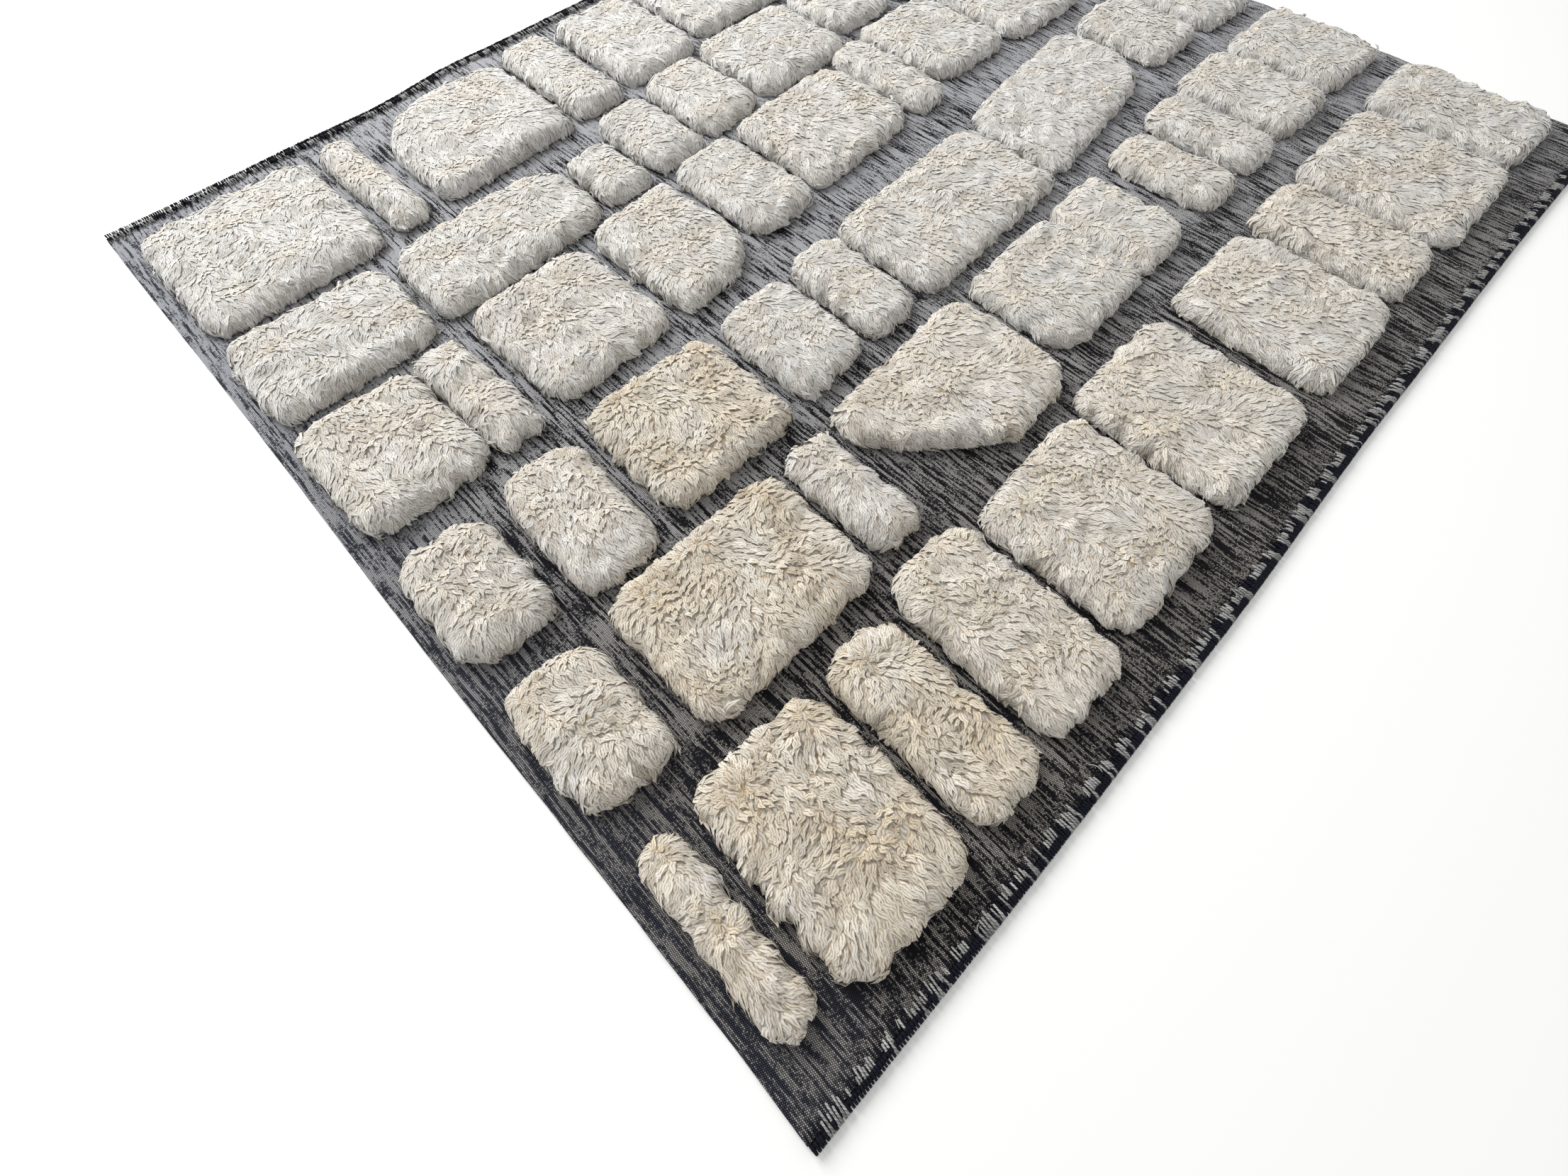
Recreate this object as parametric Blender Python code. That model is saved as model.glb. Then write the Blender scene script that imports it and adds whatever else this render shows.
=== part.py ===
"""A handwoven wool rug, lying flat: a flat-woven marled ground, two overcast selvedges and six rows of
raised blocks of long pile. Metres, +Z up. The origin is under the middle of the rug, on the floor."""

import math
import random
from typing import NamedTuple

import bpy
from mathutils import Matrix, Vector, geometry, noise

# Driving sizes
LENGTH = 2.50  # along X
GROUND_THICK = 0.004
GAP = 0.0003  # between pieces that touch on the real rug
BEAD_WIDE = 0.011  # an overcast selvedge, across
BEAD_HIGH = 0.009  # and over the floor
# Its section, as shares of that width and height, round from the lower outer corner
BEAD_SECTION = [(0.12, 0.0), (0.0, 0.42), (0.22, 0.88), (0.62, 1.0), (1.0, 0.62), (1.0, 0.0)]
EDGE_STEPS = 80  # sections along each selvedge, every other one swollen
LOOP_SWELL = 0.002  # how far its wrapped yarn stands out at a block of loops
PILE_HIGH = 0.038  # a block's crown over its knots
DOME_FALL = 0.20  # the share of that height lost towards its sides
RIM_HIGH = 0.014  # where the pile bulges furthest out
RIM_OUT = 0.010  # how far the pile overhangs its knots
SHOULDER_IN = 0.020  # from the rim in to the shoulder of the block
SHOULDER_SHARE = 0.26  # the same in a narrow block, as a share of its width
LOCK_STEP = 0.026  # from one point of the rim to the next, and so half a lock's width
LOCK_DEEP = 0.007  # from a lock's tip in to the notch beside it
# How far a lock's tip and the notch beside it reach, and how high they lie, as shares of
# LOCK_DEEP and RIM_HIGH
TIP_REACH, NOTCH_REACH = (0.25, 0.5), (-0.5, -0.3)
TIP_HEIGHT, NOTCH_HEIGHT = (0.45, 0.9), (1.0, 1.4)
LUMP = 0.007  # the height of the lumps in the pile
LUMPS_PER_METRE = 14
CROWN_STEP = 0.050  # between points on top of a block
TROUGH_DEEP = 0.009  # a trough is where the pile parts between two lobes of a block
TROUGH_WIDE = 0.022
CORNER_STEPS = 8

# The long edges of the ground, as (x, y) from the near left corner
NEAR_EDGE = [(0.0, 0.002), (0.4, 0.0), (0.8, 0.003), (1.4, 0.016), (2.0, 0.020), (2.5, 0.016)]
FAR_EDGE = [(0.0, 1.978), (0.56, 2.0), (0.86, 2.040), (1.3, 2.062), (1.9, 2.070), (2.5, 2.060)]
END_WANDER = 0.003  # how far each short end strays from a straight line
END_STEPS = 20
LEFT_WAVES, RIGHT_WAVES = 11, 9  # radians of stray along the left and the right end

DEPTH = max(y for _, y in FAR_EDGE) - min(y for _, y in NEAR_EDGE)


class Block(NamedTuple):
    """One block of pile. Places are those of its rim, from the near left corner of the rug."""

    name: str
    left: float
    right: float
    near: float
    far: float
    rise: float = 0.0  # how much further away its right end lies than its left
    lean: float = 0.0  # how much further right its far side lies than its near side
    corners: tuple = (0.045, 0.045, 0.045, 0.045)  # radii: near left, near right, far right, far left
    cut: float = 0.0  # how straight its near left corner is cut, from 0 for an arc to 1
    trough: float = 0.0  # where a trough crosses it from its near side to its far side


BLOCKS = [
    Block("pile_1_1", 0.035, 0.104, 0.085, 0.358, corners=(0.03, 0.02, 0.03, 0.03)),
    Block("pile_1_2", 0.128, 0.353, 0.062, 0.367, rise=-0.006),
    Block("pile_1_3", 0.367, 0.503, 0.066, 0.368, lean=-0.004),
    Block("pile_1_4", 0.520, 0.700, 0.072, 0.394, corners=(0.04, 0.04, 0.05, 0.06)),
    Block("pile_1_5", 0.714, 0.996, 0.092, 0.384, rise=0.016, lean=-0.006),
    Block("pile_1_6", 1.006, 1.292, 0.098, 0.412, rise=0.010),
    Block("pile_1_7", 1.334, 1.620, 0.100, 0.420, rise=0.008),
    Block("pile_1_8", 1.640, 1.830, 0.112, 0.432, rise=0.006),
    Block("pile_1_9", 1.850, 2.190, 0.104, 0.440, rise=0.006),
    Block("pile_1_10", 2.212, 2.452, 0.110, 0.452, rise=-0.004),
    Block("pile_2_1", 0.028, 0.180, 0.412, 0.636, rise=-0.010),
    Block("pile_2_2", 0.212, 0.556, 0.402, 0.654, rise=0.006, trough=0.292),
    Block("pile_2_3", 0.566, 0.674, 0.420, 0.656, corners=(0.035, 0.035, 0.035, 0.035)),
    Block("pile_2_4", 0.690, 1.076, 0.412, 0.684, rise=0.034, corners=(0.20, 0.06, 0.07, 0.03), cut=0.8),
    Block("pile_2_5", 1.096, 1.550, 0.472, 0.714, rise=0.026, corners=(0.07, 0.06, 0.03, 0.03), trough=1.38),
    Block("pile_2_6", 1.614, 1.758, 0.486, 0.742, lean=-0.012),
    Block("pile_2_7", 1.786, 1.936, 0.494, 0.766, rise=0.010, lean=-0.010),
    Block("pile_2_8", 1.962, 2.180, 0.500, 0.788, rise=0.010, lean=-0.008),
    Block("pile_2_9", 2.200, 2.458, 0.508, 0.792, rise=-0.006),
    Block("pile_3_1", 0.026, 0.184, 0.684, 0.916, rise=-0.006, corners=(0.05, 0.03, 0.045, 0.05)),
    Block("pile_3_2", 0.210, 0.366, 0.664, 0.928, lean=0.008),
    Block("pile_3_3", 0.392, 0.670, 0.692, 0.950, rise=0.006, corners=(0.05, 0.03, 0.04, 0.05)),
    Block("pile_3_4", 0.692, 0.872, 0.714, 0.960, rise=0.022),
    Block("pile_3_5", 0.882, 1.022, 0.722, 0.978, rise=0.010, lean=0.008),
    Block("pile_3_6", 1.036, 1.494, 0.740, 1.004, rise=0.036, corners=(0.05, 0.03, 0.03, 0.045), trough=1.18),
    Block("pile_3_7", 1.500, 1.980, 0.806, 1.070, rise=0.080, corners=(0.05, 0.11, 0.06, 0.08)),
    Block("pile_3_8", 2.010, 2.220, 0.852, 1.106, rise=0.010),
    Block("pile_3_9", 2.240, 2.456, 0.846, 1.104, rise=-0.010),
    Block("pile_4_1", 0.028, 0.256, 0.970, 1.240, rise=0.006, lean=-0.010),
    Block("pile_4_2", 0.264, 0.360, 0.974, 1.248, lean=-0.012, corners=(0.02, 0.03, 0.03, 0.02)),
    Block("pile_4_3", 0.386, 0.660, 0.996, 1.286, rise=0.016, lean=-0.014),
    Block("pile_4_4", 0.678, 0.904, 1.016, 1.316, rise=0.034, lean=-0.014, corners=(0.03, 0.10, 0.03, 0.045)),
    Block("pile_4_5", 0.918, 1.100, 1.066, 1.350, rise=0.014, lean=-0.010),
    Block("pile_4_6", 1.114, 1.452, 1.102, 1.384, rise=0.036, corners=(0.04, 0.05, 0.07, 0.03)),
    Block("pile_4_7", 1.464, 1.584, 1.118, 1.420, rise=0.010, corners=(0.03, 0.05, 0.04, 0.03)),
    Block("pile_4_8", 1.594, 1.850, 1.160, 1.446, rise=0.004, corners=(0.08, 0.04, 0.04, 0.03)),
    Block("pile_4_9", 1.870, 2.160, 1.156, 1.450, rise=0.006),
    Block("pile_4_10", 2.180, 2.454, 1.158, 1.446, rise=-0.010),
    Block("pile_5_1", 0.030, 0.350, 1.270, 1.506, rise=0.008),
    Block("pile_5_2", 0.360, 0.760, 1.306, 1.532, rise=0.034, corners=(0.03, 0.06, 0.09, 0.06), trough=0.496),
    Block("pile_5_3", 0.770, 0.894, 1.342, 1.518, rise=0.004, corners=(0.035, 0.03, 0.03, 0.035)),
    Block("pile_5_4", 0.902, 1.052, 1.360, 1.600, rise=0.016, lean=-0.014, corners=(0.03, 0.02, 0.04, 0.06)),
    Block("pile_5_5", 1.066, 1.248, 1.386, 1.640, rise=0.024, lean=-0.006),
    Block("pile_5_6", 1.260, 1.560, 1.408, 1.676, rise=0.018, lean=-0.006),
    Block("pile_5_7", 1.576, 1.790, 1.474, 1.694, rise=0.006),
    Block("pile_5_8", 1.810, 2.200, 1.478, 1.700, rise=0.004),
    Block("pile_5_9", 2.222, 2.452, 1.476, 1.696, rise=-0.008),
    Block("pile_6_1", 0.034, 0.400, 1.546, 1.900, rise=0.024, lean=-0.008),
    Block("pile_6_2", 0.416, 0.506, 1.572, 1.910, rise=0.010, lean=-0.016, corners=(0.02, 0.03, 0.03, 0.03)),
    Block("pile_6_3", 0.536, 0.892, 1.600, 1.936, rise=0.030, lean=-0.004, corners=(0.04, 0.03, 0.07, 0.16)),
    Block("pile_6_4", 0.904, 1.044, 1.628, 1.974, rise=0.008, corners=(0.025, 0.02, 0.04, 0.045)),
    Block("pile_6_5", 1.064, 1.300, 1.658, 1.984, rise=0.016),
    Block("pile_6_6", 1.320, 1.640, 1.706, 1.994, rise=0.010),
    Block("pile_6_7", 1.660, 1.820, 1.720, 1.996, rise=0.006),
    Block("pile_6_8", 1.842, 2.170, 1.726, 1.998, rise=0.004),
    Block("pile_6_9", 2.192, 2.452, 1.724, 1.990, rise=-0.008),
]

COLOURS = {
    "ground": (0.105, 0.105, 0.115),
    "selvedge": (0.020, 0.024, 0.045),
    "pile": (0.72, 0.67, 0.57),
}


def wool(name):
    """A matt wool finish in one of the rug's three colours."""
    material = bpy.data.materials.new(name)
    material.use_nodes = True
    shader = material.node_tree.nodes["Principled BSDF"]
    shader.inputs["Base Color"].default_value = (*COLOURS[name], 1.0)
    shader.inputs["Roughness"].default_value = 0.95
    return material


def add_object(name, points, faces, material):
    """An object whose points are given from the near left corner of the rug, at floor level."""
    shift = Vector((-LENGTH / 2, -DEPTH / 2, 0.0))
    mesh = bpy.data.meshes.new(name)
    mesh.from_pydata([Vector(point) + shift for point in points], [], faces)
    mesh.materials.append(material)
    mesh.shade_smooth()
    mesh.set_sharp_from_angle(angle=math.radians(60))
    piece = bpy.data.objects.new(name, mesh)
    bpy.context.collection.objects.link(piece)
    return piece


def along(edge, x):
    """The y of a long edge at x, on a smooth curve through its points."""
    for (x0, y0), (x1, y1) in zip(edge, edge[1:]):
        if x <= x1:
            share = (x - x0) / (x1 - x0)
            return y0 + (y1 - y0) * share * share * (3 - 2 * share)
    return edge[-1][1]


def end_of(x, waves, towards):
    """Places up a short end of the cloth, from near to far, which strays a little from straight."""
    near_y = along(NEAR_EDGE, x) + BEAD_WIDE + GAP
    far_y = along(FAR_EDGE, x) - BEAD_WIDE - GAP
    places = []
    for i in range(1, END_STEPS):
        share = i / END_STEPS
        stray = END_WANDER * (0.5 + 0.5 * math.sin(waves * share))
        places.append((x + towards * stray, near_y + (far_y - near_y) * share))
    return places


def ground(material):
    """The cloth: one flat sheet whose long sides follow the edges, a bead's width inside them."""
    stations = [LENGTH * i / EDGE_STEPS for i in range(EDGE_STEPS + 1)]
    inset = BEAD_WIDE + GAP
    outline = [(x, along(NEAR_EDGE, x) + inset) for x in stations]
    outline += end_of(LENGTH, RIGHT_WAVES, -1)
    outline += [(x, along(FAR_EDGE, x) - inset) for x in reversed(stations)]
    outline += reversed(end_of(0.0, LEFT_WAVES, 1))
    count = len(outline)
    points = [(x, y, z) for z in (0.0, GROUND_THICK) for x, y in outline]
    faces = [[i, (i + 1) % count, (i + 1) % count + count, i + count] for i in range(count)]
    faces += [list(reversed(range(count))), list(range(count, 2 * count))]
    return add_object("ground", points, faces, material)


def selvedge(name, edge, inward, material):
    """An overcast edge: a bead of wrapped yarn, flat below, that swells at each block of loops. Its
    inner side is straight and lies along the ground's edge."""
    points = []
    for i in range(EDGE_STEPS + 1):
        x = LENGTH * i / EDGE_STEPS
        slack = LOOP_SWELL * (1 - i % 2)
        for across, up in BEAD_SECTION:
            out = BEAD_WIDE - (1 - across) * (BEAD_WIDE - slack)
            points.append((x, along(edge, x) + inward * out, up * (BEAD_HIGH - slack)))
    sides = len(BEAD_SECTION)
    faces = []
    for i in range(EDGE_STEPS):
        for k in range(sides):
            a, b = i * sides + k, i * sides + (k + 1) % sides
            faces.append([a, b, b + sides, a + sides])
    faces += [list(reversed(range(sides))), list(range(EDGE_STEPS * sides, (EDGE_STEPS + 1) * sides))]
    if inward > 0:
        faces = [list(reversed(face)) for face in faces]
    return add_object(name, points, faces, material)


def placed(block, x, y):
    """A place in the rug, from one in the block's own square outline about its middle."""
    return Vector((
        (block.left + block.right) / 2 + x + block.lean * y / (block.far - block.near),
        (block.near + block.far) / 2 + y + block.rise * x / (block.right - block.left),
    ))


def outline_of(block, inset):
    """The block's outline about its middle, a given distance inside its rim, with close points on its
    corners. It runs from the near right corner towards the far side."""
    half_wide = (block.right - block.left) / 2
    half_deep = (block.far - block.near) / 2
    near_left, near_right, far_right, far_left = block.corners
    outline = []
    for side_x, side_y, radius, start, cut in (
        (1, -1, near_right, -90, 0.0),
        (1, 1, far_right, 0, 0.0),
        (-1, 1, far_left, 90, 0.0),
        (-1, -1, near_left, 180, block.cut),
    ):
        turn = radius - inset
        for step in range(CORNER_STEPS + 1):
            share = step / CORNER_STEPS
            arc = Vector((turn, 0.0))
            arc.rotate(Matrix.Rotation(math.radians(start + 90 * share), 2))
            first = Vector((turn, 0.0))
            first.rotate(Matrix.Rotation(math.radians(start), 2))
            last = Vector((turn, 0.0))
            last.rotate(Matrix.Rotation(math.radians(start + 90), 2))
            bend = arc.lerp(first.lerp(last, share), cut)
            outline.append(Vector((side_x * (half_wide - radius), side_y * (half_deep - radius))) + bend)
    return outline


def ring_of(block, inset, count):
    """Evenly spaced points round a block, from the middle of its near side towards the right."""
    outline = outline_of(block, inset)
    middle = (outline[-1] + outline[0]) / 2
    outline = [middle, *outline, middle]
    reach = [0.0]
    for a, b in zip(outline, outline[1:]):
        reach.append(reach[-1] + (b - a).length)
    found = []
    at = 0
    for i in range(count):
        wanted = reach[-1] * i / count
        while reach[at + 1] < wanted:
            at += 1
        share = (wanted - reach[at]) / (reach[at + 1] - reach[at])
        found.append(placed(block, *outline[at].lerp(outline[at + 1], share)))
    return found


def halving_band(outer, inner, inner_count, outer_below):
    """Triangles from a ring to one inside it with half as many points."""
    outer_count = 2 * inner_count
    faces = []
    for i in range(inner_count):
        a, b, c = (outer + (2 * i + step) % outer_count for step in range(3))
        d, e = inner + i, inner + (i + 1) % inner_count
        faces += [[a, b, d], [b, e, d], [b, c, e]]
    return faces if outer_below else [list(reversed(face)) for face in faces]


def crown_height(block, place):
    """The pile's height over its knots: a low dome with lumps, and a trough where the block has one."""
    half_wide = (block.right - block.left) / 2
    half_deep = (block.far - block.near) / 2
    across = abs(place.x - block.left - half_wide) / half_wide
    along_y = abs(place.y - block.near - half_deep) / half_deep
    height = PILE_HIGH * (1 - DOME_FALL * max(across, along_y) ** 3)
    height += LUMP * noise.noise(Vector((*(place * LUMPS_PER_METRE), 0.0)))
    if block.trough:
        off = (place.x - block.trough) / TROUGH_WIDE
        height -= TROUGH_DEEP * math.exp(-off * off)
    return height


def crown_places(block, inset):
    """A staggered grid of places on top of a block, with one of its columns along the trough."""
    middle = block.trough or (block.left + block.right) / 2
    columns = math.ceil((block.right - block.left) / CROWN_STEP)
    rows = math.ceil((block.far - block.near) / CROWN_STEP)
    room_x = (block.right - block.left) / 2 - inset
    room_y = (block.far - block.near) / 2 - inset
    near_left = max(block.corners[0] - inset, 0.0)
    places = []
    for column in range(-columns, columns + 1):
        x = middle + column * CROWN_STEP - (block.left + block.right) / 2
        for row in range(-rows, rows + 1):
            y = (row + 0.5 * (column % 2)) * CROWN_STEP
            in_cut = block.cut and (x + room_x) + (y + room_y) < near_left
            if abs(x) < room_x and abs(y) < room_y and not in_cut:
                places.append(placed(block, x, y))
    return places


def inside(place, ring, margin):
    """Whether a place lies inside a ring that runs anticlockwise, a margin clear of its every side."""
    for a, b in zip(ring, ring[1:] + ring[:1]):
        side = (b - a).normalized()
        if side.x * (place.y - a.y) - side.y * (place.x - a.x) < margin:
            return False
    return True


def pile(block, material):
    """A block of pile: flat where its knots sit on the ground, locks hanging out round its rim, and a
    lumpy crown."""
    chance = random.Random(block.name)
    around = 2 * (block.right - block.left + block.far - block.near)
    half = 2 * round(around / LOCK_STEP / 4)  # points of the base and of the shoulder
    base = GROUND_THICK + GAP
    shoulder_in = min(SHOULDER_IN, SHOULDER_SHARE * min(block.right - block.left, block.far - block.near))
    centre = placed(block, 0.0, 0.0)

    points = [(*place, base) for place in ring_of(block, RIM_OUT, half)]
    for i, place in enumerate(ring_of(block, LOCK_DEEP / 2, 2 * half)):
        is_tip = i % 2 == 1
        reach = LOCK_DEEP * chance.uniform(*(TIP_REACH if is_tip else NOTCH_REACH))
        height = RIM_HIGH * chance.uniform(*(TIP_HEIGHT if is_tip else NOTCH_HEIGHT))
        points.append((*(place + (place - centre).normalized() * reach), base + height))
    shoulder = ring_of(block, shoulder_in, half)
    crown = [p for p in crown_places(block, shoulder_in) if inside(p, shoulder, CROWN_STEP / 3)]
    top = shoulder + crown
    rim_start = half
    top_start = 3 * half
    points += [(*place, base + crown_height(block, place)) for place in top]

    faces = [list(reversed(range(half)))]
    faces += halving_band(rim_start, 0, half, outer_below=False)
    faces += halving_band(rim_start, top_start, half, outer_below=True)
    sides = [(i, (i + 1) % half) for i in range(half)]
    _, _, triangles, kept, _, _ = geometry.delaunay_2d_cdt(top, sides, [list(range(half))], 1, 1e-6)
    faces += [[top_start + kept[corner][0] for corner in triangle] for triangle in triangles]
    return add_object(block.name, points, faces, material)


def main():
    for old in list(bpy.data.objects):
        bpy.data.objects.remove(old)
    ground(wool("ground"))
    bead = wool("selvedge")
    selvedge("selvedge_near", NEAR_EDGE, 1, bead)
    selvedge("selvedge_far", FAR_EDGE, -1, bead)
    pile_wool = wool("pile")
    for block in BLOCKS:
        pile(block, pile_wool)


main()
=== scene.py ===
# %% [markdown]
# # A Moroccan pile rug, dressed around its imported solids
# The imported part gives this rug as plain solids: a flat woven ground, an overcast edge along each
# long side, and 56 blocks of pile in six rows. This lesson puts the wool on them. The ground gets
# a marled weave, the edges get real yarn wound round them, and every block gets its own coat of
# locks. All sizes are metres in the part's own frame, with the floor at z = 0.

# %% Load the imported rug
import math
from typing import NamedTuple

import bpy
import numpy as np
from mathutils import Matrix, Quaternion, Vector
from mathutils.bvhtree import BVHTree


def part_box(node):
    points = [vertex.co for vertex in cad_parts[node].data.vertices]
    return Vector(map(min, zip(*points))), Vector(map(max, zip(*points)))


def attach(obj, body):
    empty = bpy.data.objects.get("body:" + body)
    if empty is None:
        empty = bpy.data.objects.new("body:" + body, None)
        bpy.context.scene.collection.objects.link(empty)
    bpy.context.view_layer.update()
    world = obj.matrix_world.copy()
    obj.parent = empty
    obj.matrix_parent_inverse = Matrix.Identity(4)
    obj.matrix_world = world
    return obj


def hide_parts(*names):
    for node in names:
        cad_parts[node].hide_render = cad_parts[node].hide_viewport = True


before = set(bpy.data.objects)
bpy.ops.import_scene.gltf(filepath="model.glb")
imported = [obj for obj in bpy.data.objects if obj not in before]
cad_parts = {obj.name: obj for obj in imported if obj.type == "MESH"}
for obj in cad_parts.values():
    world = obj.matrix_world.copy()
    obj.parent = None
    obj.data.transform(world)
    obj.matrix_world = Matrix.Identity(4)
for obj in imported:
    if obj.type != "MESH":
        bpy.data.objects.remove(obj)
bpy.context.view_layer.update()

pile_names = sorted(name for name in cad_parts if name.startswith("pile_"))
rug_low, rug_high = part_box("ground")
print(f"{len(pile_names)} blocks of pile on a ground {rug_high.x - rug_low.x:.3f} m long")

# %% [markdown]
# ## The view
# The photograph looks down on the rug from one corner, at about 65 degrees below the horizon, with
# a short lens. The camera's place and turn were worked out once from the rug's own straight lines:
# its long edge, its short end and the rows between them. Setting the camera first means that every
# later step can be judged from the right side.

# %% Place the camera
CAMERA_PLACE = Vector((-1.099, -0.829, 0.855))
# Degrees: the heading round Z, the tilt up from straight down, and the roll in the picture
CAMERA_HEADING, CAMERA_TILT, CAMERA_ROLL = -44.425, 25.25, 0.26
CAMERA_LENS, CAMERA_SENSOR = 14.647, 36.0  # millimetres
CAMERA_NEAREST = 0.01

camera_data = bpy.data.cameras.new("view")
camera_data.lens = CAMERA_LENS
camera_data.sensor_width = CAMERA_SENSOR
camera_data.clip_start = CAMERA_NEAREST
camera = bpy.data.objects.new("view", camera_data)
camera.matrix_world = (
    Matrix.Translation(CAMERA_PLACE)
    @ Matrix.Rotation(math.radians(CAMERA_HEADING), 4, "Z")
    @ Matrix.Rotation(math.radians(CAMERA_TILT), 4, "X")
    @ Matrix.Rotation(math.radians(CAMERA_ROLL), 4, "Z")
)
bpy.context.scene.collection.objects.link(camera)
bpy.context.scene.camera = camera
print(f"camera {CAMERA_PLACE.z:.2f} m above the floor")

# %% [markdown]
# ## Shader maths as plain Python
# A finish is a graph of nodes, but graphs are hard to read as text. So one small class wraps an
# output socket and lets Python's own operators add the Math nodes: `1 - mask * 0.5` makes two
# nodes. A vector gets Vector Math nodes in the same way, and colours go through Mix, because a Math
# node would turn a colour grey. Any other node comes from the one method `node` of a finish.

# %% A socket that does arithmetic
class Wire:
    """A node's output socket. Adding to it or multiplying it adds the node that does so."""

    def __init__(self, finish, socket):
        self.finish = finish
        self.socket = socket

    def _math(self, operation, *values):
        kind = "VectorMath" if self.socket.type == "VECTOR" else "Math"
        return self.finish.node(kind, {"operation": operation}, *values)

    def __add__(self, other):
        return self._math("ADD", self, other)

    def __sub__(self, other):
        return self._math("SUBTRACT", self, other)

    def __mul__(self, other):
        return self._math("MULTIPLY", self, other)

    def __rsub__(self, other):
        return self._math("SUBTRACT", other, self)

    def __truediv__(self, other):
        return self._math("DIVIDE", self, other)

    def __rtruediv__(self, other):
        return self._math("DIVIDE", other, self)

    __radd__ = __add__
    __rmul__ = __mul__


class Finish:
    """A material made of nodes, for one kind of wool on the rug."""

    def __init__(self, name, **constants):
        self.material = bpy.data.materials.new(name)
        self.material.use_nodes = True
        self.tree = self.material.node_tree
        self.shader = self.tree.nodes["Principled BSDF"]
        for socket, value in constants.items():
            self.shader.inputs[socket.replace("_", " ")].default_value = value

    def join(self, socket, value):
        """Links a wire to a socket, or sets the socket to a plain value."""
        if isinstance(value, Wire):
            self.tree.links.new(value.socket, socket)
        elif value is not None:
            socket.default_value = value

    def node(self, kind, settings=None, *values, out=0, **named):
        """Adds one node: its settings first, then what its sockets hold, by place or by name."""
        made = self.tree.nodes.new("ShaderNode" + kind)
        for setting, value in (settings or {}).items():
            setattr(made, setting, value)
        for place, value in enumerate(values):
            self.join(made.inputs[place], value)
        for name, value in named.items():
            self.join(made.inputs[name.replace("_", " ")], value)
        outputs = [socket for socket in made.outputs if socket.enabled]
        return Wire(self, outputs[out])

    def parts(self, vector):
        """The x, y and z of a vector."""
        return [self.node("SeparateXYZ", None, vector, out=i) for i in range(3)]

    def vector(self, x, y, z=0.0):
        return self.node("CombineXYZ", None, x, y, z)

    def blend(self, share, first, second):
        """A colour that goes from the first to the second as share goes from 0 to 1."""
        made = self.tree.nodes.new("ShaderNodeMix")
        made.data_type = "RGBA"
        for place, value in zip((0, 6, 7), (share, first, second)):
            is_colour = isinstance(value, tuple)
            self.join(made.inputs[place], (*value, 1.0) if is_colour else value)
        return Wire(self, made.outputs[2])

    def ease(self, value, low, high):
        """A smooth step from 0 to 1 between low and high."""
        return self.node("MapRange", {"interpolation_type": "SMOOTHSTEP"}, value, low, high, 0.0, 1.0)

    def clouds(self, vector, scale, detail=2.0, rough=0.5):
        """Soft noise from 0 to 1."""
        return self.node("TexNoise", None, Vector=vector, Scale=scale, Detail=detail, Roughness=rough)

    def chance(self, vector):
        """An unrelated value from 0 to 1 for each whole-numbered place."""
        return self.node("TexWhiteNoise", {"noise_dimensions": "3D"}, vector)

    def dress(self, colour, roughness, height=None, depth=0.0):
        """Feeds the shader, with a bump of that depth in metres if there is a height."""
        self.join(self.shader.inputs["Base Color"], colour)
        self.join(self.shader.inputs["Roughness"], roughness)
        if height is not None:
            bump = self.node("Bump", None, Strength=1.0, Distance=depth, Height=height)
            self.join(self.shader.inputs["Normal"], bump)
        return self.material


print("Wire and Finish are ready")

# %% [markdown]
# ## The pile's wool
# Real pile wool is pale and clean at the tips, where the light reaches it, and browner near the
# knots, where grease and shade stay. Each lock is a bundle of a few wavy strands with partings
# between them, and fine fibres run along every strand. The mesh carries two maps for this. On the
# map Lock, v goes from the root to the tip and u goes round the lock. On the map Tone, u says how
# warm a lock is and v how bright. Values on maps are kept by the export, where a value from an
# object's name would be lost.

# %% Mix the pile's wool
TIP_COOL = (0.74, 0.74, 0.725)
TIP_IVORY = (0.79, 0.755, 0.68)
TIP_WARM = (0.73, 0.64, 0.49)
IVORY_AT = 0.4  # the warmth of plain ivory wool, between cool and warm
# The roots' colours: partly grease, partly painted shade deep in the pile and in the partings between
# strands
ROOT_COOL = (0.32, 0.245, 0.145)
ROOT_WARM = (0.42, 0.25, 0.085)
ROOT_SHARE = 0.38  # of a lock's length, where its wool has wholly turned to the tip's colour
# In a parting the rest is the root's colour, painted shade between the strands
PARTING_LIT_SHARE = 0.26  # how much of that colour there is in a parting
# Dull locks go towards this colour, and so do locks painted into shade in the valleys between tufts
DULL_AND_SHADED_WOOL = (0.14, 0.095, 0.045)  # what a dull lock goes towards
DULLEST, BRIGHTER = 0.52, 0.46  # how bright the dullest lock is, and how much more the brightest
STRANDS = 2.0  # across one lock
SWAY, SWAYS = 0.12, 2.1  # of a lock's width that its strands wave, and how often along it
FIBRES, FIBRES_ALONG = 26.0, 3.0
FIBRE_SHADE = 0.36  # how much the fibres differ in brightness
PARTINGS, PARTINGS_ALONG = 3.0, 3.5
FIBRES_OUT, PARTINGS_DEEP = 0.8, 1.5  # how much each of them shapes the strands
STRAND_FROM, STRAND_TO = -0.25, 0.55  # from the bottom of a parting to the top of a strand
STRAND_DEPTH = 0.0008
STRANDS_STAND, FIBRES_STAND = 0.8, 0.4  # how much of that depth each of them makes
WOOL_ROUGH, FIBRES_ROUGHER = 0.78, 0.12


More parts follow.
